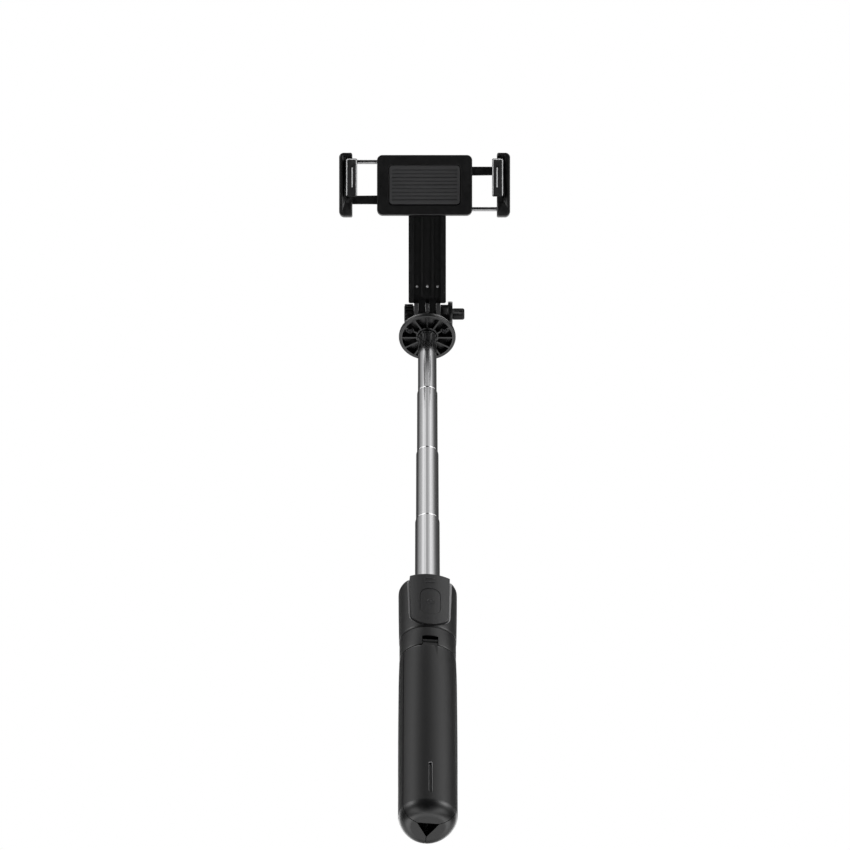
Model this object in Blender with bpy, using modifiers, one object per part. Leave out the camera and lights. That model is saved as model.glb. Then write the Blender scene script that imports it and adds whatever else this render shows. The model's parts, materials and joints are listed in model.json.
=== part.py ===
"""A folding selfie stick: a handle of three tripod legs, a docked remote, four sliding tubes and a
folding holder with a spring clamp.

Lengths are in millimetres and are turned into metres as each mesh is made. +Z runs up the stick from
the handle's lower end, the remote faces the front, -Y, and +X is to the right of someone facing it.
"""

import math

import bmesh
import bpy
from mathutils import Matrix

MM = 0.001
SIDES = 36  # facets round a large turned piece
SMALL_SIDES = 14  # facets round a pin or a screw
GAP = 0.3  # between pieces that touch

# Handle
HANDLE_TURN = 6.0  # degrees that the handle sits turned from the tubes, which have that much play
LOBE = 0.03  # how far the handle's round section is eased towards three flats
ROUND_WITHIN = 8.0
LEG_TOP = 117.0
LEG_R = 14.7
LEG_WALL = 2.2
LEG_FOOT_R = 6.6  # rounding of a leg's lower end
LEG_COUNT = 3
FOOT_HOLE_SIDE = 11.3  # the three-cornered opening between the closed legs
LEG_SPREAD_PIN_R = 11.2
LEG_SPREAD_PIN_Z = 120.4
LEG_PIN_R = 0.9
LEG_TAB_W = 7.6
COLLAR_TOP = 130.2
NOTCH_TOP = 123.4
HOUSING_LOW = 130.5
HOUSING_TOP = 169.0
HOUSING_LOW_R = 14.8
HOUSING_TOP_R = 15.25
SLOT_LOW = 10.7
SLOT_HIGH = 31.5
SLOT_W = 1.6

# Remote
REMOTE_W = 19.8
REMOTE_TOP_W = 21.0
REMOTE_LOW = 131.9
REMOTE_TOP = 169.9
REMOTE_FACE = 14.6  # from the stick's axis to the middle of its face
REMOTE_FACE_R = 24.4
REMOTE_BACK = 8.3
BUTTON_W = 10.8
BUTTON_LOW = 139.6
BUTTON_HIGH = 158.9
BUTTON_CORNER = 4.6

# Tubes: the outer radius, top and lower end of each one that slides, from the thickest
TUBE_WALL = 0.25
TUBES = {
    "tube_4": (6.55, 228.0, 78.0),
    "tube_3": (6.10, 284.0, 138.5),
    "tube_2": (5.65, 336.0, 195.0),
    "tube_1": (5.20, 388.2, 249.5),
}
CENTRE_TUBE_R = 7.05
CENTRE_TUBE_INNER_R = 6.75
GROOVE_HALF_W = 1.15
GROOVE_DEPTH = 0.15
END_RING_H = 5.7

# Head
DISC_Z = 384.8
DISC_R = 16.1
DISC_INNER_R = 14.1
DISC_FLOOR = 388.6
DISC_TOP = 390.6
SPOKES = 12
SPOKE_W = 1.1
HINGE_Z = 406.6
FINGER_R = 6.2
FOLD = 50.0  # degrees that the holder leans forward
SWIVEL_U = 72.9  # from the fold hinge up to the middle of the clamp
CLAMP_X = -1.5

# Clamp, measured from its own middle; depths run forward from the fold hinge's axis
PHONE_W = 79.5
BODY_HALF_W = 27.0
BODY_HALF_H = 17.0
BODY_BACK = -0.4
BODY_FRONT = 10.6
ARM_HALF_H = 18.0
ARM_IN = 41.1
ARM_OUT = 48.4
ARM_FRONT = 15.0
JAW_U = 3.6
JAW_HALF_H = 10.75
JAW_IN = 38.1
JAW_OUT = 44.4
JAW_LIP = (19.3, 21.3)
GEAR_TEETH = 12
GEAR_MODULE = 0.8
RACK_PITCH = math.pi * GEAR_MODULE
GEAR_R = GEAR_TEETH * GEAR_MODULE / 2


# ---------------------------------------------------------------- scene, finishes and placing

for old in list(bpy.data.objects):
    bpy.data.objects.remove(old)

parts = bpy.data.collections.new("selfie_stick")
helpers = bpy.data.collections.new("cutters")
helpers.hide_render = True
for made in (parts, helpers):
    bpy.context.scene.collection.children.link(made)


def finish(name, color, roughness, metallic=0.0):
    """A Principled material."""
    made = bpy.data.materials.new(name)
    made.use_nodes = True
    shader = made.node_tree.nodes["Principled BSDF"]
    shader.inputs["Base Color"].default_value = (*color, 1.0)
    shader.inputs["Roughness"].default_value = roughness
    shader.inputs["Metallic"].default_value = metallic
    return made


SATIN_BLACK = finish("satin_black_plastic", (0.030, 0.030, 0.031), 0.42)
DARK_GREY = finish("dark_grey_plastic", (0.045, 0.045, 0.047), 0.50)
INNER_BLACK = finish("inner_black_plastic", (0.012, 0.012, 0.012), 0.60)
STEEL = finish("polished_steel", (0.62, 0.62, 0.63), 0.18, 1.0)
SCREW_STEEL = finish("screw_steel", (0.50, 0.50, 0.50), 0.30, 1.0)
RUBBER = finish("soft_rubber", (0.020, 0.020, 0.020), 0.80)
BOARD_GREEN = finish("board_green", (0.02, 0.14, 0.05), 0.50)
CELL_GREY = finish("cell_grey", (0.35, 0.36, 0.38), 0.40)
CLEAR = finish("clear_plastic", (0.80, 0.80, 0.80), 0.10)


def empty(name, location=(0, 0, 0), turn=(0, 0, 0), parent=None):
    """An empty at a place in millimetres, turned by degrees about X, Y and Z."""
    made = bpy.data.objects.new(name, None)
    made.location = [MM * v for v in location]
    made.rotation_euler = [math.radians(v) for v in turn]
    made.parent = parent
    made.empty_display_size = 0.01
    parts.objects.link(made)
    return made


handle = empty("handle", turn=(0, 0, HANDLE_TURN))
remote_slide = empty("remote_slide", (0, -REMOTE_BACK, REMOTE_LOW), parent=handle)
tube_slides = {name: empty(name + "_slide", (0, 0, low)) for name, (_, _, low) in TUBES.items()}
head_base = empty("head_base", (0, 0, DISC_Z), parent=tube_slides["tube_1"])
head_base.location = (0, 0, MM * (DISC_Z - TUBES["tube_1"][2]))
fold_pivot = empty("fold_pivot", (0, 0, HINGE_Z), turn=(FOLD, 0, 0))
clamp_pivot = empty("clamp_pivot", (CLAMP_X, 0, SWIVEL_U), parent=fold_pivot)


def to_object(name, bm, material, parent=None, helper=False):
    """The bmesh, in millimetres in its parent's frame, as an object."""
    mesh = bpy.data.meshes.new(name)
    bmesh.ops.scale(bm, vec=(MM, MM, MM), verts=bm.verts)
    bm.to_mesh(mesh)
    bm.free()
    mesh.materials.append(material)
    return place(name, mesh, parent, helper)


def place(name, mesh, parent=None, helper=False):
    """An object for a mesh that is already in metres in its parent's frame."""
    made = bpy.data.objects.new(name, mesh)
    made.parent = parent
    (helpers if helper else parts).objects.link(made)
    if helper:
        made.hide_render = True
        made.display_type = "WIRE"
    elif mesh.polygons:
        mesh.shade_smooth()
        mesh.set_sharp_from_angle(angle=math.radians(35))
    return made


def at_origin(obj, parent_offset):
    """Moves a mesh made in the handle's frame into the frame of an empty at parent_offset."""
    obj.data.transform(Matrix.Translation([-MM * v for v in parent_offset]))
    return obj


# ---------------------------------------------------------------- shapes

def block(name, x, y, z, material=INNER_BLACK, parent=None, helper=False, bevel=0.0):
    """A box between two values along each axis, with its edges rounded by bevel."""
    bm = bmesh.new()
    bmesh.ops.create_cube(bm, size=1.0)
    size = [b - a for a, b in (x, y, z)]
    middle = [(a + b) / 2 for a, b in (x, y, z)]
    bmesh.ops.transform(bm, matrix=Matrix.LocRotScale(middle, None, size), verts=bm.verts)
    if bevel:
        bmesh.ops.bevel(bm, geom=bm.edges, offset=bevel, segments=2, profile=0.5, affect="EDGES")
    return to_object(name, bm, material, parent, helper)


TO_AXIS = {
    "X": Matrix.Rotation(math.radians(90), 4, "Y"),
    "Y": Matrix.Rotation(math.radians(90), 4, "X"),
    "Z": Matrix.Identity(4),
}


def rod(name, radius, axis, span, middle=(0, 0, 0), material=INNER_BLACK, parent=None,
        helper=False, sides=SMALL_SIDES, end_radius=None):
    """A cylinder along X, Y or Z that runs between the two values of span; middle gives the rest."""
    bm = bmesh.new()
    low, high = span
    first, last = radius, radius if end_radius is None else end_radius
    if axis == "Y":
        first, last = last, first
    bmesh.ops.create_cone(bm, cap_ends=True, segments=sides, radius1=first, radius2=last,
                          depth=high - low)
    centre = list(middle)
    centre["XYZ".index(axis)] = (low + high) / 2
    bmesh.ops.transform(bm, matrix=Matrix.Translation(centre) @ TO_AXIS[axis], verts=bm.verts)
    return to_object(name, bm, material, parent, helper)


def evaluated_mesh(obj):
    """The object's mesh with its modifiers, curve or Booleans worked out, in its own frame."""
    bpy.context.view_layer.update()
    graph = bpy.context.evaluated_depsgraph_get()
    mesh = bpy.data.meshes.new_from_object(obj.evaluated_get(graph))
    bm = bmesh.new()
    bm.from_mesh(mesh)
    bmesh.ops.remove_doubles(bm, verts=bm.verts, dist=1e-7)
    bm.to_mesh(mesh)
    bm.free()
    return mesh


def turned(name, profile, material=INNER_BLACK, parent=None, helper=False, sides=SIDES, lobed=False):
    """A profile of (radius, z) points, from the top down the outer side and back up the inner one,
    turned about Z. A lobed piece is then eased towards the handle's three flats."""
    mesh = bpy.data.meshes.new(name)
    count = len(profile)
    on_axis = abs(profile[0][0]) < 1e-9 and abs(profile[-1][0]) < 1e-9
    edges = [(i, i + 1) for i in range(count - 1)] + ([] if on_axis else [(count - 1, 0)])
    mesh.from_pydata([(MM * r, 0, MM * z) for r, z in profile], edges, [])
    spun = bpy.data.objects.new(name + "_profile", mesh)
    helpers.objects.link(spun)
    screw = spun.modifiers.new("turn", "SCREW")
    screw.steps = screw.render_steps = sides
    screw.use_merge_vertices = True
    screw.merge_threshold = 1e-6
    screw.use_normal_calculate = False
    solid = evaluated_mesh(spun)
    bpy.data.objects.remove(spun)
    if lobed:
        for vertex in solid.vertices:
            lobe(vertex)
    solid.name = name
    solid.materials.clear()
    solid.materials.append(material)
    return place(name, solid, parent, helper)


def lobe(vertex):
    """Moves a point in or out, so that a circle flattens at the front and at 120 degrees from it.
    A bore near the axis stays round."""
    if math.hypot(vertex.co.x, vertex.co.y) < MM * ROUND_WITHIN:
        return
    angle = math.atan2(vertex.co.x, -vertex.co.y)
    scale = 1 - LOBE * math.cos(LEG_COUNT * angle)
    vertex.co.x *= scale
    vertex.co.y *= scale


def slab(name, outlines, plane, span, material=INNER_BLACK, parent=None, helper=False):
    """Flat outlines, the first with the others as holes in it, made as thick as span.

    plane XY takes (x, y) points and span along Z; plane XZ takes (x, z) points and span along Y;
    plane YZ takes (y, z) points and span along X."""
    data = bpy.data.curves.new(name, "CURVE")
    data.dimensions = "2D"
    data.fill_mode = "BOTH"
    low, high = span
    data.extrude = MM * (high - low) / 2
    for outline in outlines:
        spline = data.splines.new("POLY")
        spline.points.add(len(outline) - 1)
        for point, (a, b) in zip(spline.points, outline):
            point.co = (MM * a, MM * b, 0, 1)
        spline.use_cyclic_u = True
    curve = bpy.data.objects.new(name + "_outline", data)
    helpers.objects.link(curve)
    mesh = evaluated_mesh(curve)
    bpy.data.objects.remove(curve)
    middle = MM * (low + high) / 2
    if plane == "XY":
        stand = Matrix.Translation((0, 0, middle))
    elif plane == "XZ":
        stand = Matrix.Translation((0, middle, 0)) @ Matrix.Rotation(math.radians(90), 4, "X")
    else:
        stand = Matrix.Translation((middle, 0, 0)) @ Matrix(((0, 0, 1, 0), (1, 0, 0, 0),
                                                             (0, 1, 0, 0), (0, 0, 0, 1)))
    mesh.transform(stand)
    mesh.name = name
    mesh.materials.clear()
    mesh.materials.append(material)
    return place(name, mesh, parent, helper)


def arc(cx, cy, radius, start, end, steps):
    """Points on a circle from one angle to another, in degrees."""
    angles = [math.radians(start + (end - start) * i / steps) for i in range(steps + 1)]
    return [(cx + radius * math.cos(a), cy + radius * math.sin(a)) for a in angles]


def rounded_rectangle(x, y, corner, steps=5):
    """A rectangle between two values each way, with round corners."""
    (x0, x1), (y0, y1) = x, y
    c = corner
    return (arc(x1 - c, y0 + c, c, -90, 0, steps) + arc(x1 - c, y1 - c, c, 0, 90, steps)
            + arc(x0 + c, y1 - c, c, 90, 180, steps) + arc(x0 + c, y0 + c, c, 180, 270, steps))


def combine(obj, operation, others):
    """Cuts, joins or keeps obj with each of the others, which become helpers."""
    for other in others:
        modifier = obj.modifiers.new(other.name, "BOOLEAN")
        modifier.operation = operation
        modifier.solver = "EXACT"
        modifier.object = other
    return obj


def cut(obj, *others):
    return combine(obj, "DIFFERENCE", others)


def join(obj, *others):
    return combine(obj, "UNION", others)


def keep(obj, *others):
    return combine(obj, "INTERSECT", others)


def settle(obj, material):
    """Replaces an object's modifiers by the mesh that they make."""
    mesh = evaluated_mesh(obj)
    mesh.materials.clear()
    mesh.materials.append(material)
    for polygon in mesh.polygons:
        polygon.material_index = 0
    users = [m.object for m in obj.modifiers]
    name, parent = obj.name, obj.parent
    bpy.data.objects.remove(obj)
    for user in users:
        bpy.data.objects.remove(user)
    return place(name, mesh, parent)


# ---------------------------------------------------------------- legs

def leg_profile():
    """A leg's wall, from its top down to the edge of the foot opening and back up inside."""
    inner = LEG_R - LEG_WALL
    foot_in = LEG_FOOT_R - LEG_WALL
    waist = [(LEG_R - 0.6, LEG_TOP), (LEG_R - 0.25, LEG_TOP - 0.5), (LEG_R - 0.05, LEG_TOP - 5),
             (LEG_R + 0.15, LEG_TOP - 18), (LEG_R + 0.2, 60.0), (LEG_R, 25.0)]
    foot = arc(LEG_R - LEG_FOOT_R, LEG_FOOT_R, LEG_FOOT_R, 0, -90, 6)
    back = arc(inner - foot_in, LEG_FOOT_R, foot_in, -90, 0, 3)
    return waist + foot + [(2.0, 0.0), (2.0, LEG_WALL)] + back + [(inner, LEG_TOP - 1.4),
                                                               (LEG_R - 1.4, LEG_TOP)]


def leg_sector():
    """Seen along the stick: the third of the ring that one leg fills, less half the seam."""
    seam = 0.15
    chord = FOOT_HOLE_SIDE / (2 * math.sqrt(3))
    reach = 40.0
    half = math.radians(180 / LEG_COUNT)
    side = FOOT_HOLE_SIDE / 2 - seam / math.cos(half)
    out = (reach * math.sin(half) - seam * math.cos(half), -reach * math.cos(half))
    return [(-side, -chord), (-out[0], out[1]), (out[0], out[1]), (side, -chord)]


def make_leg_mesh():
    """The front leg: a third of a rounded tube, with its hinge knuckle and a shallow slot."""
    half_tab = LEG_TAB_W / 2
    knuckle_r = 2.3
    leg = turned("leg", leg_profile(), SATIN_BLACK, lobed=True)
    sector = slab("sector", [leg_sector()], "XY", (-1, LEG_TOP + 1), helper=True)
    tab_outline = [(-13.3, LEG_TOP - 12), (-13.9, LEG_TOP - 6), (-13.9, 118.2),
                   (-LEG_SPREAD_PIN_R, LEG_SPREAD_PIN_Z), (-LEG_SPREAD_PIN_R + knuckle_r - 0.4, 118.6),
                   (-LEG_SPREAD_PIN_R + knuckle_r - 0.4, LEG_TOP - 5)]
    tab = slab("tab", [tab_outline], "YZ", (-half_tab, half_tab), helper=True)
    knuckle = rod("knuckle", knuckle_r, "X", (-half_tab + 0.05, half_tab - 0.05),
                  (0, -LEG_SPREAD_PIN_R, LEG_SPREAD_PIN_Z), helper=True)
    bore = rod("bore", LEG_PIN_R + 0.25, "X", (-10, 10),
               (0, -LEG_SPREAD_PIN_R, LEG_SPREAD_PIN_Z), helper=True)
    slot_outline = rounded_rectangle((-SLOT_W / 2, SLOT_W / 2), (SLOT_LOW, SLOT_HIGH), 0.75, 3)
    slot = slab("slot", [slot_outline], "XZ", (-17, -13.45), helper=True)
    keep(leg, sector)
    join(leg, tab, knuckle)
    cut(leg, bore, slot)
    return settle(leg, SATIN_BLACK)


leg_model = make_leg_mesh()
leg_mesh = leg_model.data
bpy.data.objects.remove(leg_model)
LEG_AZIMUTHS = {"leg_front": 0, "leg_right": 120, "leg_left": 240}
leg_mesh.transform(Matrix.Translation((0, MM * LEG_SPREAD_PIN_R, -MM * LEG_SPREAD_PIN_Z)))
for leg_name, azimuth in LEG_AZIMUTHS.items():
    around = Matrix.Rotation(math.radians(azimuth), 3, "Z")
    pin_place = around @ Matrix.Translation((0, -LEG_SPREAD_PIN_R, LEG_SPREAD_PIN_Z)).translation
    leg_pivot = empty(leg_name + "_pivot", pin_place, (0, 0, azimuth), handle)
    place(leg_name, leg_mesh, leg_pivot)
    rod(leg_name + "_pin", LEG_PIN_R, "X", (-6.6, 6.6), material=SCREW_STEEL, parent=leg_pivot,
        sides=12)


# ---------------------------------------------------------------- collar and housing

def make_collar():
    """The ring that the three legs hinge on, with a notch and a pin hole for each."""
    bore_r = CENTRE_TUBE_R + GAP
    top_r = HOUSING_LOW_R - 0.25
    profile = [(top_r - 0.3, COLLAR_TOP), (top_r, COLLAR_TOP - 0.4), (top_r - 0.05, LEG_TOP + 0.8),
               (top_r - 0.4, LEG_TOP + GAP), (bore_r, LEG_TOP + GAP), (bore_r, COLLAR_TOP)]
    collar = turned("leg_collar", profile, DARK_GREY, handle, lobed=True)
    half = LEG_TAB_W / 2 + GAP
    for name, azimuth in LEG_AZIMUTHS.items():
        notch = block(name + "_notch", (-half, half), (-18, -8.2), (LEG_TOP - 2, NOTCH_TOP),
                      parent=handle, helper=True)
        hole = rod(name + "_hole", LEG_PIN_R + 0.25, "X", (-6.9, 6.9),
                   (0, -LEG_SPREAD_PIN_R, LEG_SPREAD_PIN_Z), parent=handle, helper=True, sides=12)
        for cutter in (notch, hole):
            cutter.rotation_euler = (0, 0, math.radians(azimuth))
            cut(collar, cutter)
    return collar


def make_collar_screws(collar, housing):
    """The three screws that hold the collar up to the housing, between the notches."""
    radius = 10.7
    for i in range(LEG_COUNT):
        angle = math.radians(60 + 120 * i)
        x, y = radius * math.sin(angle), -radius * math.cos(angle)
        make_screw(f"collar_screw_{i + 1}", (x, y), (LEG_TOP + 0.5, LEG_TOP + 1.8), 1.7,
                   (LEG_TOP + 1.0, HOUSING_LOW + 8), 0.9, handle)
        seat = rod(f"seat_{i}", 2.0, "Z", (LEG_TOP - 1, LEG_TOP + 2.1), (x, y, 0), parent=handle,
                   helper=True, sides=12)
        hole = rod(f"hole_{i}", 1.15, "Z", (LEG_TOP - 1, HOUSING_LOW + 8.3), (x, y, 0),
                   parent=handle, helper=True, sides=12)
        cut(collar, seat, hole)
        cut(housing, hole)


def make_screw(name, xy, head_z, head_r, shaft_z, shaft_r, parent):
    """An upright screw: its head and its plain shaft."""
    head = rod(name, head_r, "Z", head_z, (*xy, 0), SCREW_STEEL, parent, sides=12)
    shaft = rod(name + "_shaft", shaft_r, "Z", shaft_z, (*xy, 0), parent=parent, helper=True,
                sides=12)
    return join(head, shaft)


def remote_outline(grow=0.0, top=REMOTE_TOP):
    """Seen from the front: straight sides that spread a little upwards, and a round lower end."""
    radius = REMOTE_W / 2 + grow
    middle = REMOTE_LOW + REMOTE_W / 2
    half_top = REMOTE_TOP_W / 2 + grow
    return arc(0, middle, radius, 180, 360, 14) + [(half_top, top), (-half_top, top)]


def make_housing():
    """The upper grip, with the cradle for the remote cut into its front."""
    bore_r = CENTRE_TUBE_R + 0.2
    profile = [(HOUSING_TOP_R - 0.9, HOUSING_TOP), (HOUSING_TOP_R - 0.25, HOUSING_TOP - 0.3),
               (HOUSING_TOP_R, HOUSING_TOP - 1.0), (HOUSING_LOW_R + 0.15, HOUSING_LOW + 10),
               (HOUSING_LOW_R, HOUSING_LOW + 0.6), (HOUSING_LOW_R - 0.5, HOUSING_LOW),
               (bore_r, HOUSING_LOW), (bore_r, HOUSING_TOP)]
    housing = turned("upper_housing", profile, SATIN_BLACK, handle, lobed=True)
    cradle = slab("cradle", [remote_outline(0.2, HOUSING_TOP + 2)], "XZ",
                  (-20, -(REMOTE_BACK - 0.3)), parent=handle, helper=True)
    ring_seat = rod("ring_seat", 9.0, "Z", (HOUSING_TOP - 3.2, HOUSING_TOP + 1), parent=handle,
                    helper=True, sides=SIDES)
    rear_hollow = slab("rear_hollow", [arc(0, 0, 12.3, 12, 168, 12) + arc(0, 0, 8.6, 168, 12, 12)],
                       "XY", (HOUSING_LOW - 1, HOUSING_TOP - 6), parent=handle, helper=True)
    return cut(housing, cradle, ring_seat, rear_hollow)


collar_body = make_collar()
housing_body = make_housing()
make_collar_screws(collar_body, housing_body)


def make_guide_ring():
    """The ring in the housing's top that the thickest sliding tube runs through."""
    profile = [(8.4, HOUSING_TOP - 0.1), (8.6, HOUSING_TOP - 0.4), (8.6, HOUSING_TOP - 2.9),
               (TUBES["tube_4"][0] + 0.2, HOUSING_TOP - 2.9),
               (TUBES["tube_4"][0] + 0.2, HOUSING_TOP - 0.1)]
    ring = turned("guide_ring", profile, DARK_GREY, handle)
    clear = block("ring_flat", (-12, 12), (-12, -(REMOTE_BACK - 0.6)),
                  (HOUSING_TOP - 5, HOUSING_TOP + 2), parent=handle, helper=True)
    return cut(ring, clear)


def make_centre_tube():
    """The fixed tube that the legs close round."""
    top = HOUSING_TOP - 3.5
    profile = [(CENTRE_TUBE_R, top), (CENTRE_TUBE_R, 8.6), (CENTRE_TUBE_INNER_R, 8.6),
               (CENTRE_TUBE_INNER_R, top)]
    return turned("centre_tube", profile, STEEL, handle, sides=28)


def make_centre_plug():
    """The plug in the centre tube's lower end, with crossed ribs that show between the feet."""
    inner = CENTRE_TUBE_INNER_R - 0.1
    profile = [(0, 13.4), (inner, 13.4), (inner, 8.3), (8.4, 8.3), (9.0, 7.7), (9.0, 5.4),
               (6.6, 5.4), (6.6, 7.0), (0, 7.0)]
    plug = turned("centre_plug", profile, INNER_BLACK, handle, sides=24)
    for turn in (0, 60, 120):
        rib = block(f"plug_rib_{turn}", (-0.45, 0.45), (-6.9, 6.9), (5.6, 7.3), parent=handle,
                    helper=True)
        rib.rotation_euler = (0, 0, math.radians(turn))
        join(plug, rib)
    return plug


make_guide_ring()
make_centre_tube()
make_centre_plug()


# ---------------------------------------------------------------- remote

def face_form(name, radius_less=0.0):
    """A tall round form whose front is the remote's face."""
    radius = REMOTE_FACE_R - radius_less
    return rod(name, radius, "Z", (REMOTE_LOW - 5, REMOTE_TOP + 5),
               (0, REMOTE_FACE_R - REMOTE_FACE, 0), helper=True, sides=80)


def button_outline(grow):
    """The shutter button from the front, grown or shrunk all round."""
    return rounded_rectangle((-BUTTON_W / 2 - grow, BUTTON_W / 2 + grow),
                             (BUTTON_LOW - grow, BUTTON_HIGH + grow), BUTTON_CORNER + grow, 4)


def make_remote():
    """The remote's shells, button, board, switch, battery and light pipe."""
    origin = (0, -REMOTE_BACK, REMOTE_LOW)

    shell = slab("remote_front_shell", [remote_outline()], "XZ", (-20, -9.3), DARK_GREY)
    cavity = slab("cavity", [remote_outline(-1.3, REMOTE_TOP - 1.3)], "XZ", (-12.0, -5),
                  helper=True)
    window = slab("window", [button_outline(0.0)], "XZ", (-20, -10), helper=True)
    led_hole = rod("led_hole", 0.55, "Y", (-20, -10), (-6.6, 0, 149.3), helper=True, sides=12)
    keep(shell, face_form("shell_face"))
    cut(shell, cavity, window, led_hole)
    made = [settle(shell, DARK_GREY)]

    made.append(slab("remote_back_cover", [remote_outline()], "XZ",
                     (-9.1, -REMOTE_BACK), DARK_GREY))

    button = slab("shutter_button", [button_outline(-0.2)], "XZ", (-20, -11.6), DARK_GREY)
    keep(button, face_form("button_face", 0.15))
    flange = slab("flange", [button_outline(0.7)], "XZ", (-11.75, -11.2), helper=True)
    join(button, flange)
    made.append(settle(button, DARK_GREY))

    made.append(slab("remote_board", [rounded_rectangle((-7.6, 7.6), (136.5, 159.3), 3.0, 4)], "XZ",
                     (-10.15, -9.5), BOARD_GREEN))
    made.append(rod("tact_switch", 2.0, "Y", (-10.7, -10.35), (0, 0, 149.3), SCREW_STEEL,
                    sides=16))
    made.append(block("remote_battery", (-8, 8), (-11.8, -9.6), (160.0, 168.0), CELL_GREY,
                      bevel=0.4))
    made.append(rod("led_pipe", 0.4, "Y", (-13.7, -10.4), (-6.6, 0, 149.3), CLEAR, sides=10))
    for piece in made:
        at_origin(piece, origin)
        piece.parent = remote_slide


make_remote()


# ---------------------------------------------------------------- sliding tubes

def tube_outline(radius, steps=26):
    """A circle with the shallow key groove at its front."""
    half = math.degrees(math.asin(GROOVE_HALF_W / radius))
    outside = arc(0, 0, radius, -90 + half, 270 - half, steps)
    inset = radius - GROOVE_DEPTH
    return outside + arc(0, 0, inset, -90 - half * 0.7, -90 + half * 0.7, 2)


def make_tube(name, radius, top, low, slide):
    """A thin tube, and the ring in its lower end that keeps it from sliding out."""
    inner = radius - TUBE_WALL
    slab(name, [tube_outline(radius), tube_outline(inner)], "XY", (0, top - low), STEEL, slide)
    ring_profile = [(radius - 0.05, -GAP), (radius - 0.05, -END_RING_H), (inner - 0.8, -END_RING_H),
                    (inner - 0.8, -GAP)]
    turned(name + "_end_ring", ring_profile, DARK_GREY, slide, sides=24)


for tube_name, (tube_r, tube_top, tube_low) in TUBES.items():
    make_tube(tube_name, tube_r, tube_top, tube_low, tube_slides[tube_name])


# ---------------------------------------------------------------- disc and hinge base

def disc_boss_places():
    return [(-9.8, -4.6), (9.8, -4.6)]


def make_disc():
    """The dished disc on the top tube, with spokes and two screw bosses under it."""
    rim = 0.0
    floor, top = DISC_FLOOR - DISC_Z, DISC_TOP - DISC_Z
    hub_r = TUBES["tube_1"][0]
    profile = [(0, top), (11.0, top), (13.6, top - 0.7), (15.4, top - 2.4), (DISC_R, top - 4.4),
               (DISC_R, rim + 0.5), (DISC_R - 0.3, rim), (DISC_INNER_R + 0.2, rim),
               (DISC_INNER_R, rim + 0.4), (DISC_INNER_R - 0.3, floor), (hub_r + 1.3, floor),
               (hub_r + 1.3, rim + 0.9), (hub_r + GAP, rim + 0.9), (hub_r + GAP, floor + 0.1),
               (0, floor + 0.1)]
    disc = turned("ribbed_disc", profile, SATIN_BLACK, head_base)
    for i in range(SPOKES):
        spoke = block(f"spoke_{i}", (hub_r + 0.8, DISC_INNER_R + 0.6), (-SPOKE_W / 2, SPOKE_W / 2),
                      (rim + 0.15, floor + 0.3), parent=head_base, helper=True)
        spoke.rotation_euler = (0, 0, math.radians(360 / SPOKES * i))
        join(disc, spoke)
    for x, y in disc_boss_places():
        boss = rod(f"boss_{x}", 2.1, "Z", (rim + 1.2, floor + 0.3), (x, y, 0), parent=head_base,
                   helper=True, sides=16)
        join(disc, boss)
    for x, y in disc_boss_places():
        hole = rod(f"boss_hole_{x}", 1.05, "Z", (rim - 1, top + 1), (x, y, 0), parent=head_base,
                   helper=True, sides=12)
        seat = rod(f"boss_seat_{x}", 2.3, "Z", (rim - 1, rim + 1.25), (x, y, 0), parent=head_base,
                   helper=True, sides=16)
        cut(disc, hole, seat)
    return disc


def make_disc_screws():
    """The two screws that hold the disc to the hinge base."""
    for name, xy in zip(("disc_screw_left", "disc_screw_right"), disc_boss_places()):
        make_screw(name, xy, (-0.2, 0.9), 1.7, (0.4, 8.4), 0.8, head_base)


def finger_outline(radius, foot, half_foot):
    """A hinge finger from the side: round about the pin, straight down to its foot."""
    return [(-half_foot, foot), (half_foot, foot)] + arc(0, 0, radius, 0, 180, 14)


LOWER_FINGERS = [(-7.5, -5.1), (-1.0, 1.0), (5.1, 7.5)]
UPPER_FINGERS = [(-4.8, -1.3), (1.3, 4.8)]


def make_hinge_base():
    """The foot on the disc and the three fingers that stand on it."""
    pin_z = HINGE_Z - DISC_Z
    foot_low = DISC_TOP - DISC_Z + GAP
    foot_top = foot_low + 3.2
    outline = rounded_rectangle((-12.2, 12.2), (-6.6, 6.0), 3.0, 4)
    base = slab("hinge_base", [outline], "XY", (foot_low, foot_top), SATIN_BLACK, head_base)
    for i, span in enumerate(LOWER_FINGERS):
        finger = slab(f"lower_finger_{i}", [finger_outline(FINGER_R, foot_top - pin_z - 0.5, FINGER_R)],
                      "YZ", span, helper=True)
        finger.parent = head_base
        finger.location = (0, 0, MM * pin_z)
        join(base, finger)
    bore = rod("hinge_bore", 1.75, "X", (-10, 10), (0, 0, pin_z), parent=head_base, helper=True)
    cut(base, bore)
    for x, y in disc_boss_places():
        hole = rod(f"base_hole_{x}", 1.05, "Z", (foot_low - 1, foot_low + 2.4), (x, y, 0),
                   parent=head_base, helper=True, sides=12)
        cut(base, hole)
    return base


def make_top_plug():
    """The plug in the top tube's end."""
    profile = [(0, 3.6), (4.6, 3.6), (4.75, 3.3), (4.75, -12), (0, -12)]
    return turned("tube_top_plug", profile, INNER_BLACK, head_base, sides=24)


make_disc()
make_disc_screws()
make_hinge_base()
make_top_plug()


# ---------------------------------------------------------------- hinge hardware

def ribbed_outline(radius, depth, ribs):
    """A round outline with square-edged ribs."""
    points = []
    for i in range(ribs):
        start = 360 / ribs * i
        for share, inset in ((0.0, 0), (0.5, 0), (0.58, depth), (0.92, depth)):
            angle = math.radians(start + share * 360 / ribs)
            r = radius - inset
            points.append((r * math.cos(angle), r * math.sin(angle)))
    return points


hinge_line = empty("hinge_line", (0, 0, HINGE_Z - DISC_Z), parent=head_base)
thumb_pivot = empty("thumb_pivot", (0, 0, HINGE_Z - DISC_Z), parent=head_base)


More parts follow.
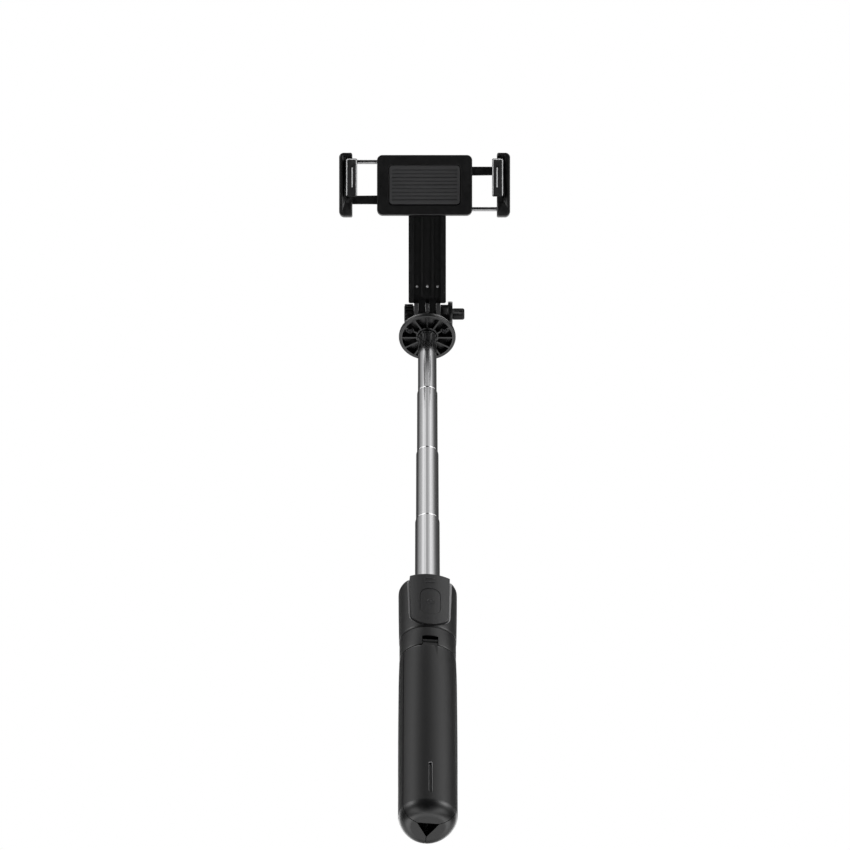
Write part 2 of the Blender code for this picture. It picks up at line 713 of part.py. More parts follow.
def make_nut_knob():
    """The ribbed cap on the left that holds the nut."""
    knob = slab("nut_knob", [ribbed_outline(5.7, 0.35, 18)], "YZ", (-13.1, -7.9), SATIN_BLACK,
                hinge_line)
    bore = rod("nut_bore", 2.85, "X", (-12.2, -7), parent=hinge_line, helper=True, sides=6)
    return cut(knob, bore)


def make_hinge_nut():
    """The hexagonal nut inside the ribbed cap."""
    nut = rod("hinge_nut", 2.5, "X", (-11.9, -8.9), material=SCREW_STEEL, parent=hinge_line,
              sides=6)
    bore = rod("nut_thread", 1.72, "X", (-14, -7), parent=hinge_line, helper=True)
    return cut(nut, bore)


def make_thumb_knob():
    """The thumb screw's boss, flange and flat grip on the right."""
    knob = rod("thumb_knob", 5.3, "X", (7.9, 12.0), material=SATIN_BLACK, parent=thumb_pivot,
               sides=24)
    flange = rod("thumb_flange", 7.2, "X", (11.8, 14.4), parent=thumb_pivot, helper=True, sides=24)
    grip = slab("thumb_grip", [rounded_rectangle((13.9, 21.2), (-3.3, 3.3), 1.3, 4)], "XZ",
                (-1.8, 1.8), parent=thumb_pivot, helper=True)
    bore = rod("thumb_bore", 1.75, "X", (6, 12.9), parent=thumb_pivot, helper=True)
    join(knob, flange, grip)
    return cut(knob, bore)


make_nut_knob()
make_hinge_nut()
make_thumb_knob()
rod("hinge_bolt", 1.5, "X", (-11.4, 12.7), material=SCREW_STEEL, parent=thumb_pivot)


# ---------------------------------------------------------------- holder arm

NECK_HALF_W = 10.65
NECK_BACK, NECK_FRONT = 6.2, 0.8  # along +Y from the hinge pin: the neck lies behind it


def make_holder_arm():
    """Two fingers, a channel-shaped neck and the round pad that carries the clamp."""
    low = FINGER_R + 0.5
    pad_r = 12.5
    plate = rounded_rectangle((-NECK_HALF_W, NECK_HALF_W), (low, SWIVEL_U), 0.9, 3)
    arm = slab("holder_arm", [plate], "XZ", (NECK_FRONT, NECK_BACK), SATIN_BLACK, fold_pivot)
    pad = rod("arm_pad", pad_r, "Y", (NECK_FRONT + 0.05, NECK_BACK - 0.05), (CLAMP_X, 0, SWIVEL_U),
              parent=fold_pivot, helper=True, sides=SIDES)
    join(arm, pad)
    channel = block("channel", (-NECK_HALF_W + 2.8, NECK_HALF_W - 2.8), (0, NECK_BACK - 1.8),
                    (low - 1, SWIVEL_U - pad_r - 3), parent=fold_pivot, helper=True)
    cut(arm, channel)
    for i, span in enumerate(UPPER_FINGERS):
        outline = [(0.2, low + 6), (NECK_BACK - 1.3, low + 6)] + arc(0, 0, FINGER_R - 0.1, 0, -180, 14)
        outline = outline[:2] + [(FINGER_R - 0.1, 2.0)] + outline[2:] + [(-FINGER_R + 0.1, 1.0)]
        finger = slab(f"upper_finger_{i}", [outline], "YZ", span, parent=fold_pivot, helper=True)
        join(arm, finger)
        rib_x = (span[0] + span[1]) / 2
        rib = block(f"neck_rib_{i}", (rib_x - 0.5, rib_x + 0.5), (NECK_FRONT + 1.2, NECK_BACK - 1.5),
                    (low + 4, SWIVEL_U - pad_r - 2), parent=fold_pivot, helper=True)
        join(arm, rib)
    bore = rod("upper_bore", 1.75, "X", (-10, 10), parent=fold_pivot, helper=True)
    swivel_bore = rod("swivel_bore", 2.8, "Y", (0, NECK_BACK + 1), (CLAMP_X, 0, SWIVEL_U),
                      parent=fold_pivot, helper=True)
    washer_seat = rod("washer_seat", 5.4, "Y", (NECK_BACK - 1.8, NECK_BACK + 1),
                      (CLAMP_X, 0, SWIVEL_U), parent=fold_pivot, helper=True)
    return cut(arm, bore, swivel_bore, washer_seat)


make_holder_arm()


# ---------------------------------------------------------------- clamp

def depth(back, front):
    """A span along Y for two depths in front of the fold hinge's axis."""
    return (-front, -back)


TONGUE_N = (2.6, 6.6)  # depths of the sliding tongues
GEAR_N = (3.0, 6.2)
TONGUE_U = (GEAR_R + 0.8, 10.6)
ROD_U = 13.4
ROD_R = 1.2


def make_clamp_shells():
    """The clamp's back shell, which holds everything, and its cover."""
    width = (-BODY_HALF_W, BODY_HALF_W)
    height = (-BODY_HALF_H, BODY_HALF_H)
    split = 7.6
    back = slab("clamp_back_shell", [rounded_rectangle(width, height, 3.0, 4)], "XZ",
                depth(BODY_BACK, split), SATIN_BLACK, clamp_pivot)
    hollow = slab("clamp_hollow", [rounded_rectangle((width[0] + 1.8, width[1] - 1.8),
                                                     (height[0] + 1.1, height[1] - 1.1), 2.0, 3)],
                  "XZ", depth(1.6, split + 1), parent=clamp_pivot, helper=True)
    cut(back, hollow)
    post = rod("gear_post", 1.6, "Y", depth(1.3, 6.6), parent=clamp_pivot, helper=True)
    join(back, post)
    for x in (-21.5, 21.5):
        screw_post = rod(f"screw_post_{x}", 2.0, "Y", depth(1.3, 6.6), (x, 0, 0),
                         parent=clamp_pivot, helper=True)
        screw_hole = rod(f"screw_hole_{x}", 1.0, "Y", depth(3.0, 8.0), (x, 0, 0),
                         parent=clamp_pivot, helper=True, sides=10)
        join(back, screw_post)
        cut(back, screw_hole)
    for side in (-1, 1):
        tongue = sorted((side * (TONGUE_U[0] - GAP), side * (TONGUE_U[1] + GAP)))
        outer = sorted((side * 20, side * 30))
        window = block(f"tongue_window_{side}", outer, depth(TONGUE_N[0] - GAP, TONGUE_N[1] + GAP),
                       tongue, parent=clamp_pivot, helper=True)
        rod_hole = rod(f"rod_hole_{side}", ROD_R + 0.3, "X", outer,
                       (0, -(TONGUE_N[0] + TONGUE_N[1]) / 2, -side * ROD_U), parent=clamp_pivot,
                       helper=True, sides=16)
        cut(back, window, rod_hole)
    pivot_hole = rod("pivot_hole", 1.3, "Y", depth(BODY_BACK - 1, 1.3 + 3.0), parent=clamp_pivot,
                     helper=True, sides=16)
    cut(back, pivot_hole)
    cover = slab("clamp_front_cover", [rounded_rectangle(width, height, 3.0, 4)], "XZ",
                 depth(split + GAP, BODY_FRONT), SATIN_BLACK, clamp_pivot)
    recess = slab("pad_recess", [rounded_rectangle((-20.3, 20.3), (-11.3, 11.3), 2.3, 3)], "XZ",
                  depth(BODY_FRONT - 0.8, BODY_FRONT + 1), parent=clamp_pivot, helper=True)
    cut(cover, recess)
    slab("clamp_pad", [rounded_rectangle((-20, 20), (-11, 11), 2.0, 3)], "XZ",
         depth(BODY_FRONT - 0.5, BODY_FRONT + 0.8), RUBBER, clamp_pivot)


def make_clamp_screws():
    """The two screws that close the clamp; their posts stand in the back shell."""
    for name, x in (("clamp_screw_left", -21.5), ("clamp_screw_right", 21.5)):
        head = rod(name, 1.35, "Y", depth(6.9, 7.5), (x, 0, 0), SCREW_STEEL, clamp_pivot, sides=12)
        shaft = rod(name + "_shaft", 0.7, "Y", depth(3.5, 7.0), (x, 0, 0), parent=clamp_pivot,
                    helper=True, sides=10)
        join(head, shaft)


def gear_outline():
    """The pinion: a tooth points straight up and straight down."""
    points = []
    for i in range(GEAR_TEETH):
        middle = 90 + 360 / GEAR_TEETH * i
        for radius, half_w in ((3.9, 0.60), (5.45, 0.26)):
            half = math.degrees(half_w / radius)
            points.append((radius, middle - half))
        for radius, half_w in ((5.45, 0.26), (3.9, 0.60)):
            half = math.degrees(half_w / radius)
            points.append((radius, middle + half))
    return [(r * math.cos(math.radians(a)), r * math.sin(math.radians(a))) for r, a in points]


def rack_outline(side):
    """One arm's tongue from the front, with the rack teeth on the edge that faces the pinion."""
    inner_end, outer_end = -10.0, ARM_IN + 0.5
    root, tip = GEAR_R + 0.8, GEAR_R - 0.6
    points = [(inner_end, TONGUE_U[1]), (inner_end, root + 0.3)]
    first, teeth = -3, 9
    for i in range(first, first + teeth):
        x = RACK_PITCH * (i + 0.5)
        points += [(x - RACK_PITCH / 2, root + 0.2), (x - 0.62, root), (x - 0.24, tip),
                   (x + 0.24, tip), (x + 0.62, root)]
    points += [(outer_end, root + 0.3), (outer_end, TONGUE_U[1])]
    return [(side * x, side * u) for x, u in points]


def make_clamp_arm(name, side):
    """One arm: the outer block with its recess, the rack tongue and the guide rod's socket."""
    span = sorted((side * ARM_IN, side * ARM_OUT))
    outline = rounded_rectangle(span, (-ARM_HALF_H, ARM_HALF_H), 2.6, 5)
    arm = slab(name, [outline], "XZ", depth(1.0, ARM_FRONT), SATIN_BLACK, arm_slides[side])
    tongue = slab(name + "_tongue", [rack_outline(side)], "XZ", depth(*TONGUE_N),
                  parent=arm_slides[side], helper=True)
    join(arm, tongue)
    pocket_x = sorted((side * (ARM_IN - 1), side * (JAW_OUT + 0.8)))
    pocket = block(name + "_pocket", pocket_x, depth(ARM_FRONT - 3.2, ARM_FRONT + 1),
                   (JAW_U - JAW_HALF_H - 2.2, JAW_U + JAW_HALF_H + 0.8),
                   parent=arm_slides[side], helper=True)
    rod_socket = rod(name + "_rod_socket", ROD_R + 0.15, "X",
                     sorted((side * (ARM_IN - 1), side * (ARM_OUT - 2))),
                     (0, -(TONGUE_N[0] + TONGUE_N[1]) / 2, -side * ROD_U),
                     parent=arm_slides[side], helper=True, sides=16)
    return cut(arm, pocket, rod_socket)


def make_guide_rod(name, side):
    """The steel rod of one arm, with the collar that its spring pushes on."""
    y = -(TONGUE_N[0] + TONGUE_N[1]) / 2
    guide = rod(name, ROD_R, "X", sorted((side * 9.0, side * (ARM_IN + 4.5))),
                (0, y, -side * ROD_U), SCREW_STEEL, arm_slides[side], sides=16)
    stop = rod(name + "_stop", 2.2, "X", sorted((side * 9.05, side * 10.2)),
               (0, y, -side * ROD_U), parent=arm_slides[side], helper=True, sides=16)
    return join(guide, stop)


def make_spring(name, side):
    """The coil spring on one guide rod, between the rod's collar and the shell's side wall."""
    turns, wire, radius = 5, 0.3, 1.75
    start, end = 10.2 + GAP + wire, BODY_HALF_W - 1.8 - GAP - wire
    steps = 9
    y = -(TONGUE_N[0] + TONGUE_N[1]) / 2
    data = bpy.data.curves.new(name, "CURVE")
    data.dimensions = "3D"
    data.bevel_depth = MM * wire
    data.bevel_resolution = 0
    data.use_fill_caps = True
    spline = data.splines.new("POLY")
    count = turns * steps + 1
    spline.points.add(count - 1)
    for i, point in enumerate(spline.points):
        share = i / (count - 1)
        angle = 2 * math.pi * turns * share
        x = side * (start + (end - start) * share)
        z = -side * ROD_U + radius * math.sin(angle)
        point.co = (MM * x, MM * (y + radius * math.cos(angle)), MM * z, 1)
    curve = bpy.data.objects.new(name + "_wire", data)
    helpers.objects.link(curve)
    mesh = evaluated_mesh(curve)
    bpy.data.objects.remove(curve)
    mesh.materials.clear()
    mesh.materials.append(SCREW_STEEL)
    return place(name, mesh, clamp_pivot)


def make_jaw(name, side):
    """The hook that reaches round the phone's edge, and its rubber pad."""
    stem_in = PHONE_W / 2 + 1.6
    lip_x = sorted((side * JAW_IN, side * JAW_OUT))
    stem_x = sorted((side * stem_in, side * (JAW_OUT - 0.05)))
    height = (JAW_U - JAW_HALF_H, JAW_U + JAW_HALF_H)
    jaw = slab(name, [rounded_rectangle(lip_x, height, 0.8, 3)], "XZ", depth(*JAW_LIP), DARK_GREY,
               arm_slides[side])
    stem = block(name + "_stem", stem_x, depth(ARM_FRONT - 2.9, JAW_LIP[0] + 0.4),
                 (height[0] + 0.05, height[1] - 0.05), parent=arm_slides[side], helper=True)
    join(jaw, stem)
    pad_x = sorted((side * PHONE_W / 2, side * (stem_in - 0.2)))
    block(name + "_pad", pad_x, depth(BODY_FRONT + 2.6, JAW_LIP[0] - 0.3),
          (height[0] + 1.2, height[1] - 1.2), RUBBER, arm_slides[side], bevel=0.3)
    return jaw


arm_slides = {
    1: empty("arm_right_slide", parent=clamp_pivot),
    -1: empty("arm_left_slide", parent=clamp_pivot),
}
make_clamp_shells()
make_clamp_screws()
for side_name, side_sign in (("right", 1), ("left", -1)):
    make_clamp_arm("clamp_arm_" + side_name, side_sign)
    make_guide_rod("guide_rod_" + side_name, side_sign)
    make_spring("clamp_spring_" + side_name, side_sign)
    make_jaw("jaw_" + side_name, side_sign)


def make_pinion():
    """The pinion that makes the two arms move by the same amount."""
    pinion = slab("clamp_pinion", [gear_outline()], "XZ", depth(*GEAR_N), DARK_GREY, clamp_pivot)
    bore = rod("pinion_bore", 1.85, "Y", depth(0, 10), parent=clamp_pivot, helper=True)
    return cut(pinion, bore)


def make_swivel():
    """The stepped screw that the clamp turns on, and its washer."""
    screw = rod("swivel_screw", 2.5, "Y", depth(-NECK_BACK + 0.1, -NECK_FRONT + 0.1),
                material=SCREW_STEEL, parent=clamp_pivot)
    head = rod("swivel_head", 4.0, "Y", depth(-NECK_BACK - 0.7, -NECK_BACK + 0.8),
               parent=clamp_pivot, helper=True)
    thread = rod("swivel_thread", 1.05, "Y", depth(-NECK_FRONT, 4.0), parent=clamp_pivot,
                 helper=True, sides=16)
    drive = rod("swivel_drive", 1.5, "Y", depth(-NECK_BACK - 1.5, -NECK_BACK + 0.2),
                parent=clamp_pivot, helper=True, sides=6)
    join(screw, head, thread)
    cut(screw, drive)
    washer = rod("swivel_washer", 5.0, "Y", depth(-NECK_BACK + 1.1, -NECK_BACK + 1.6),
                 material=SCREW_STEEL, parent=clamp_pivot)
    hole = rod("washer_hole", 2.75, "Y", depth(-NECK_BACK, -NECK_BACK + 3), parent=clamp_pivot,
               helper=True)
    return cut(washer, hole)


make_pinion()
make_swivel()
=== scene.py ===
# %% [markdown]
# # A folding selfie stick
# The real object is a pocket tripod, a stretching pole and a phone clamp in one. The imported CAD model
# gives every piece its size and its joint; this lesson dresses it with fine shapes and real finishes.
# Lengths below are in millimetres, because that is how a maker talks about such small parts, and each
# mesh is turned into metres as it is made.

import json
import math

import bmesh
import bpy
from mathutils import Matrix, Vector


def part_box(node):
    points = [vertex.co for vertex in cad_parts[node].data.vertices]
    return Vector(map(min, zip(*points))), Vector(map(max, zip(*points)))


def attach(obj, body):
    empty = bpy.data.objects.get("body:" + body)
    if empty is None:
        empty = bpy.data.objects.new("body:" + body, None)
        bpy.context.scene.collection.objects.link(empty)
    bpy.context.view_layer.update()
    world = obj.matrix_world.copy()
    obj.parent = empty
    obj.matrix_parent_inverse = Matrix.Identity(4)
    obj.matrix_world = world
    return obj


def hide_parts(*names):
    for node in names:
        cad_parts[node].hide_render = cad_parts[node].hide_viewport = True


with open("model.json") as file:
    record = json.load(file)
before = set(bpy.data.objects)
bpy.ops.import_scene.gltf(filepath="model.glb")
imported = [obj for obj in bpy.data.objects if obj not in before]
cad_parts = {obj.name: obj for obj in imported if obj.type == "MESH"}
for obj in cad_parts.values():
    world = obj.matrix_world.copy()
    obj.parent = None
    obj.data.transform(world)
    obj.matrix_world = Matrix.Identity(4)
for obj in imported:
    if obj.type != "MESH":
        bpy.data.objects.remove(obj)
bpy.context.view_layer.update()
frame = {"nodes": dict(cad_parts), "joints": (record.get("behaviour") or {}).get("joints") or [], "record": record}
MM = 0.001

# %% [markdown]
# The stick is looked up at from below, close to the angle at which the clamp leans, so its front face
# is seen square on. A long lens keeps the pole's sides almost parallel. The camera comes first, so that
# every later step can be looked at.

# %% Camera
camera_data = bpy.data.cameras.new("camera")
camera_data.sensor_width = 36.0
camera_data.lens = 169.4
camera_data.clip_end = 60.0
camera = bpy.data.objects.new("camera", camera_data)
camera.location = (-0.00128, -1.41614, -1.37946)
camera.rotation_euler = (math.radians(140), 0, 0)
bpy.context.scene.collection.objects.link(camera)
bpy.context.scene.camera = camera
bpy.context.scene.view_settings.view_transform = "Standard"
print("camera lens:", camera_data.lens, "mm")

# %% [markdown]
# Dark plastic and polished steel are drawn almost wholly by what they mirror, so the studio matters
# more than any lamp. One ring of softly graded panels hangs part way up: two bright ones in front, a
# gap between them, and a black cloth behind. Steel turns those panels into upright bands and dark
# edges; the rougher plastic blurs them into two soft stripes. Floods outside the ring light the faces
# that look down or up, and white paper, which nothing mirrors, is what the lens sees behind it all.

# %% Studio surround
RING_LOW, RING_HIGH, RING_EASE = 0.65, 0.86, 0.06  # heights of the ring of panels, as a sine
FLOOD_POWER, EYE_LEVEL_POWER = 4.0, 1.3  # a ramp's levels stop at 1, so the floods are scaled up


def link(tree, source, target):
    """Joins two node sockets."""
    tree.links.new(source, target)


def math_node(tree, operation, *values):
    """A Math node; each value is a number or a socket."""
    made = tree.nodes.new("ShaderNodeMath")
    made.operation = operation
    for socket, value in zip(made.inputs, values):
        if isinstance(value, bpy.types.NodeSocket):
            link(tree, value, socket)
        else:
            socket.default_value = value
    return made.outputs[0]


def smooth_step(tree, value, low, high):
    """Eases a value from 0 at low to 1 at high."""
    made = tree.nodes.new("ShaderNodeMapRange")
    made.interpolation_type = "SMOOTHSTEP"
    made.inputs["From Min"].default_value = low
    made.inputs["From Max"].default_value = high
    link(tree, value, made.inputs["Value"])
    return made.outputs["Result"]


def grey_ramp(tree, value, stops):
    """A colour ramp of greys, from (place, level) stops."""
    made = tree.nodes.new("ShaderNodeValToRGB")
    ramp = made.color_ramp
    while len(ramp.elements) < len(stops):
        ramp.elements.new(0.5)
    for element, (place, level) in zip(ramp.elements, stops):
        element.position = place
        element.color = (level, level, level, 1)
    link(tree, value, made.inputs["Fac"])
    return made.outputs["Color"]


world = bpy.data.worlds.new("studio")
bpy.context.scene.world = world
world.use_nodes = True
tree = world.node_tree
tree.nodes.clear()
direction = tree.nodes.new("ShaderNodeTexCoord").outputs["Generated"]
split = tree.nodes.new("ShaderNodeSeparateXYZ")
link(tree, direction, split.inputs[0])
across, ahead, up = split.outputs
bearing = math_node(tree, "ARCTAN2", across, math_node(tree, "MULTIPLY", ahead, -1.0))
turn = math_node(tree, "MULTIPLY_ADD", bearing, 0.5 / math.pi, 0.5)
# 0 and 1 lie behind the stick, 0.5 in front of it, and 0.25 and 0.75 to its left and right.
PANELS = [(0.00, 0.04), (0.15, 0.05), (0.20, 0.14), (0.25, 0.36), (0.31, 0.46), (0.34, 0.66),
          (0.37, 0.98), (0.42, 0.86), (0.465, 0.42), (0.52, 0.42), (0.56, 1.00), (0.61, 0.92),
          (0.65, 0.70), (0.69, 0.36), (0.73, 0.16), (0.78, 0.07), (1.00, 0.04)]
FLOODS = [(0.00, 0.7), (0.06, 3.4), (0.13, 3.4), (0.18, 0.5), (0.25, 0.5), (0.31, 2.5), (0.35, 3.1),
          (0.39, 2.0), (0.43, 0.02), (0.57, 0.02), (0.61, 2.4), (0.65, 3.8), (0.69, 2.8),
          (0.75, 0.5), (0.82, 0.5), (0.87, 3.4), (0.94, 3.4), (1.00, 0.7)]
panels = grey_ramp(tree, turn, PANELS)
floods = grey_ramp(tree, turn, [(place, level / FLOOD_POWER) for place, level in FLOODS])
# The floods are dimmed about the level of the eye, where steel seen from the side would glare.
eye_level = math_node(tree, "MULTIPLY", smooth_step(tree, up, -0.60, -0.45),
                      smooth_step(tree, math_node(tree, "MULTIPLY", up, -1.0), -0.30, -0.18))
brighter = tree.nodes.new("ShaderNodeVectorMath")
brighter.operation = "SCALE"
link(tree, floods, brighter.inputs[0])
link(tree, math_node(tree, "MULTIPLY_ADD", eye_level, EYE_LEVEL_POWER - FLOOD_POWER, FLOOD_POWER),
     brighter.inputs["Scale"])
in_ring = math_node(tree, "MULTIPLY", smooth_step(tree, up, RING_LOW - RING_EASE, RING_LOW),
                    smooth_step(tree, math_node(tree, "MULTIPLY", up, -1.0), -RING_HIGH - 0.05,
                                -RING_HIGH))
surround = tree.nodes.new("ShaderNodeMix")
surround.data_type = "RGBA"
link(tree, in_ring, surround.inputs["Factor"])
link(tree, brighter.outputs[0], surround.inputs["A"])
link(tree, panels, surround.inputs["B"])
lit = tree.nodes.new("ShaderNodeBackground")
link(tree, surround.outputs["Result"], lit.inputs["Color"])
paper = tree.nodes.new("ShaderNodeBackground")
paper.inputs["Color"].default_value = (1, 1, 1, 1)
seen = tree.nodes.new("ShaderNodeLightPath").outputs["Is Camera Ray"]
mixed = tree.nodes.new("ShaderNodeMixShader")
link(tree, seen, mixed.inputs["Fac"])
link(tree, lit.outputs[0], mixed.inputs[1])
link(tree, paper.outputs[0], mixed.inputs[2])
link(tree, mixed.outputs[0], tree.nodes.new("ShaderNodeOutputWorld").inputs["Surface"])
print("surround panels:", len(PANELS))

# %% [markdown]
# Moulded plastic is never one flat black. The mould leaves a fine grain that breaks up its gloss, the
# colour clouds a little, and handling polishes some patches. Noise on Object coordinates gives all
# three at true scale: grain of a few tenths of a millimetre, clouds of a centimetre or two. Four
# finishes more are for single places: a light grey painted highlight on rims and edges, blackened
# screws, matt mouldings, and the greyer plastic of the hinge and of the marks on the remote.

# %% Finishes
def finish(name, color, roughness, metallic=0.0, grain_mm=0.35, grain_depth=0.004, cloud=0.12,
           patch=0.06, stretch=1.0, specular=0.5):
    """A Principled finish: grain as bump, clouds in its colour, and patches in its roughness.

    stretch below 1 draws the grain out along Z, as drawing a tube does."""
    made = bpy.data.materials.new(name)
    made.use_nodes = True
    made.diffuse_color = (*color, 1)
    tree = made.node_tree
    shader = tree.nodes["Principled BSDF"]
    shader.inputs["Metallic"].default_value = metallic
    shader.inputs["Specular IOR Level"].default_value = specular
    place = tree.nodes.new("ShaderNodeTexCoord").outputs["Object"]
    mapping = tree.nodes.new("ShaderNodeMapping")
    mapping.inputs["Scale"].default_value = (1, 1, stretch)
    link(tree, place, mapping.inputs["Vector"])

    def noise(size_mm, detail, vector):
        node = tree.nodes.new("ShaderNodeTexNoise")
        node.inputs["Scale"].default_value = 1 / (size_mm * MM)
        node.inputs["Detail"].default_value = detail
        link(tree, vector, node.inputs["Vector"])
        return node.outputs["Fac"]

    grain = noise(grain_mm, 3.0, mapping.outputs[0])
    bump = tree.nodes.new("ShaderNodeBump")
    bump.inputs["Strength"].default_value = 0.6
    bump.inputs["Distance"].default_value = grain_depth * MM
    link(tree, grain, bump.inputs["Height"])
    link(tree, bump.outputs["Normal"], shader.inputs["Normal"])
    clouds = noise(14.0, 2.0, place)
    tint = tree.nodes.new("ShaderNodeMix")
    tint.data_type = "RGBA"
    tint.inputs["A"].default_value = (*[c * (1 - cloud) for c in color], 1)
    tint.inputs["B"].default_value = (*[min(1, c * (1 + cloud)) for c in color], 1)
    link(tree, clouds, tint.inputs["Factor"])
    link(tree, tint.outputs["Result"], shader.inputs["Base Color"])
    wear = tree.nodes.new("ShaderNodeMapRange")
    wear.inputs["From Min"].default_value = 0.3
    wear.inputs["From Max"].default_value = 0.7
    wear.inputs["To Min"].default_value = roughness - patch / 2
    wear.inputs["To Max"].default_value = roughness + patch / 2
    link(tree, noise(3.0, 4.0, mapping.outputs[0]), wear.inputs["Value"])
    link(tree, wear.outputs["Result"], shader.inputs["Roughness"])
    return made


SATIN_BLACK = finish("satin_black_plastic", (0.0045, 0.0045, 0.0048), 0.34, specular=0.42)
DARK_GREY = finish("dark_grey_plastic", (0.0085, 0.0085, 0.009), 0.44, grain_depth=0.006, specular=0.42)
INNER_BLACK = finish("inner_black_plastic", (0.006, 0.006, 0.006), 0.62, specular=0.3)
STEEL = finish("drawn_steel", (0.76, 0.76, 0.77), 0.14, metallic=1.0, grain_mm=0.25,
               grain_depth=0.0006, cloud=0.02, patch=0.05, stretch=0.01)
SCREW_STEEL = finish("screw_steel", (0.34, 0.34, 0.345), 0.30, metallic=1.0, grain_mm=0.2,
                     grain_depth=0.002, cloud=0.05)
RUBBER = finish("soft_rubber", (0.022, 0.022, 0.023), 0.78, grain_mm=0.25, grain_depth=0.02,
                specular=0.35)
BOARD = finish("circuit_board", (0.02, 0.12, 0.05), 0.45, cloud=0.3)
CELL = finish("battery_can", (0.50, 0.51, 0.52), 0.32, metallic=1.0)
CLEAR = finish("smoked_moulding", (0.03, 0.03, 0.03), 0.15, cloud=0.02)
# A light grey painted highlight for rims, chamfers, beads and pips that catch the light; it is not worn plastic.
PAINTED_HIGHLIGHT = finish("burnished_edge", (0.48, 0.48, 0.485), 0.30)
BLACKENED = finish("blackened_screw", (0.020, 0.020, 0.021), 0.34, metallic=1.0, cloud=0.05)
MOULDED = finish("moulded_black_plastic", (0.0045, 0.0045, 0.0048), 0.50, specular=0.15)
HINGE_GREY = finish("hinge_grey_plastic", (0.026, 0.026, 0.027), 0.46, grain_depth=0.006)
SLOT_FINISH = {
    "satin_black": SATIN_BLACK, "dark_grey": DARK_GREY, "inner_black": INNER_BLACK,
    "polished_steel": STEEL, "fastener_steel": SCREW_STEEL, "soft_rubber": RUBBER,
    "circuit_board": BOARD, "battery_cell": CELL, "light_pipe": CLEAR,
}
print("finishes:", ", ".join(SLOT_FINISH))

# %% [markdown]
# Nearly every piece here is either turned on a lathe or cut from a plate, then joined and drilled. So
# three small builders do most of the work: turned() spins a profile, plate() thickens an outline, and
# carve() cuts, joins or keeps one solid with others. A soft rounding of each edge comes last, because
# it is the thin bright line along an edge that makes a small part look real.

# %% Builders
LOBE = 0.03  # how far the handle's round section is eased towards three flats
ROUND_WITHIN = 8.0  # a bore nearer the axis than this stays round
STEPS = 144  # facets round a large turned piece
FLAT_DEGREES = 0.05  # faces that meet at less than this are taken as one


def new_object(name, bm):
    """The bmesh, in millimetres, as an object in metres, with its faces turned outwards."""
    bmesh.ops.recalc_face_normals(bm, faces=bm.faces)
    bmesh.ops.scale(bm, vec=(MM, MM, MM), verts=bm.verts)
    mesh = bpy.data.meshes.new(name)
    bm.to_mesh(mesh)
    bm.free()
    made = bpy.data.objects.new(name, mesh)
    bpy.context.scene.collection.objects.link(made)
    return made


def lobe_scale(angle, radius):
    """How much a lobed piece is drawn in or out at an angle from its front."""
    return 1.0 if radius < ROUND_WITHIN else 1 - LOBE * math.cos(3 * angle)


def turned(name, profile, steps=STEPS, lobed=False, closed=True):
    """A closed profile of (radius, z) points spun about Z; a point on the axis becomes a pole."""
    bm = bmesh.new()
    rings = []
    for radius, z in profile:
        if radius < 1e-6:
            rings.append([bm.verts.new((0, 0, z))] * steps)
            continue
        ring = []
        for i in range(steps):
            angle = 2 * math.pi * i / steps
            r = radius * (lobe_scale(angle, radius) if lobed else 1)
            ring.append(bm.verts.new((r * math.sin(angle), -r * math.cos(angle), z)))
        rings.append(ring)
    pairs = list(zip(rings, rings[1:] + (rings[:1] if closed else [])))
    for a, b in pairs:
        if a[0] is a[1] and b[0] is b[1]:
            continue
        for i in range(steps):
            j = (i + 1) % steps
            corners = list(dict.fromkeys([a[i], a[j], b[j], b[i]]))
            bm.faces.new(corners)
    return new_object(name, bm)


def on_plane(plane, a, b, s):
    """A point of an outline (a, b) at depth s, for a plate that lies in that plane."""
    return {"XY": (a, b, s), "XZ": (a, s, b), "YZ": (s, a, b)}[plane]


def plate(name, outline, plane, span):
    """A flat outline made as thick as span."""
    bm = bmesh.new()
    low, high = [[bm.verts.new(on_plane(plane, a, b, s)) for a, b in outline] for s in span]
    count = len(outline)
    bm.faces.new(low)
    bm.faces.new(high)
    for i in range(count):
        j = (i + 1) % count
        bm.faces.new((low[i], low[j], high[j], high[i]))
    return new_object(name, bm)


def arc(cx, cy, radius, start, end, steps=12):
    """Points on a circle from one angle to another, in degrees."""
    angles = [math.radians(start + (end - start) * i / steps) for i in range(steps + 1)]
    return [(cx + radius * math.cos(a), cy + radius * math.sin(a)) for a in angles]


def round_rect(x, y, corner, steps=8):
    """A rectangle between two values each way, with round corners."""
    (x0, x1), (y0, y1), c = sorted(x), sorted(y), corner
    return (arc(x1 - c, y0 + c, c, -90, 0, steps) + arc(x1 - c, y1 - c, c, 0, 90, steps)
            + arc(x0 + c, y1 - c, c, 90, 180, steps) + arc(x0 + c, y0 + c, c, 180, 270, steps))


def circle(cx, cy, radius, steps=48):
    return arc(cx, cy, radius, 0, 360 - 360 / steps, steps - 1)


def bar(name, x, y, z):
    """A plain block between two values each way."""
    (x0, x1), y = sorted(x), sorted(y)
    return plate(name, [(x0, y[0]), (x1, y[0]), (x1, y[1]), (x0, y[1])], "XY", sorted(z))


ACROSS = {"X": "YZ", "Y": "XZ", "Z": "XY"}


def rod(name, radius, axis, span, middle=(0, 0), steps=48):
    """A cylinder along an axis; middle is its place on the plane across it."""
    return plate(name, circle(*middle, radius, steps), ACROSS[axis], sorted(span))


def baked(obj):
    """Swaps an object's modifiers for the mesh that they make."""
    graph = bpy.context.evaluated_depsgraph_get()
    mesh = bpy.data.meshes.new_from_object(obj.evaluated_get(graph), depsgraph=graph)
    obj.modifiers.clear()
    obj.data = mesh
    return obj


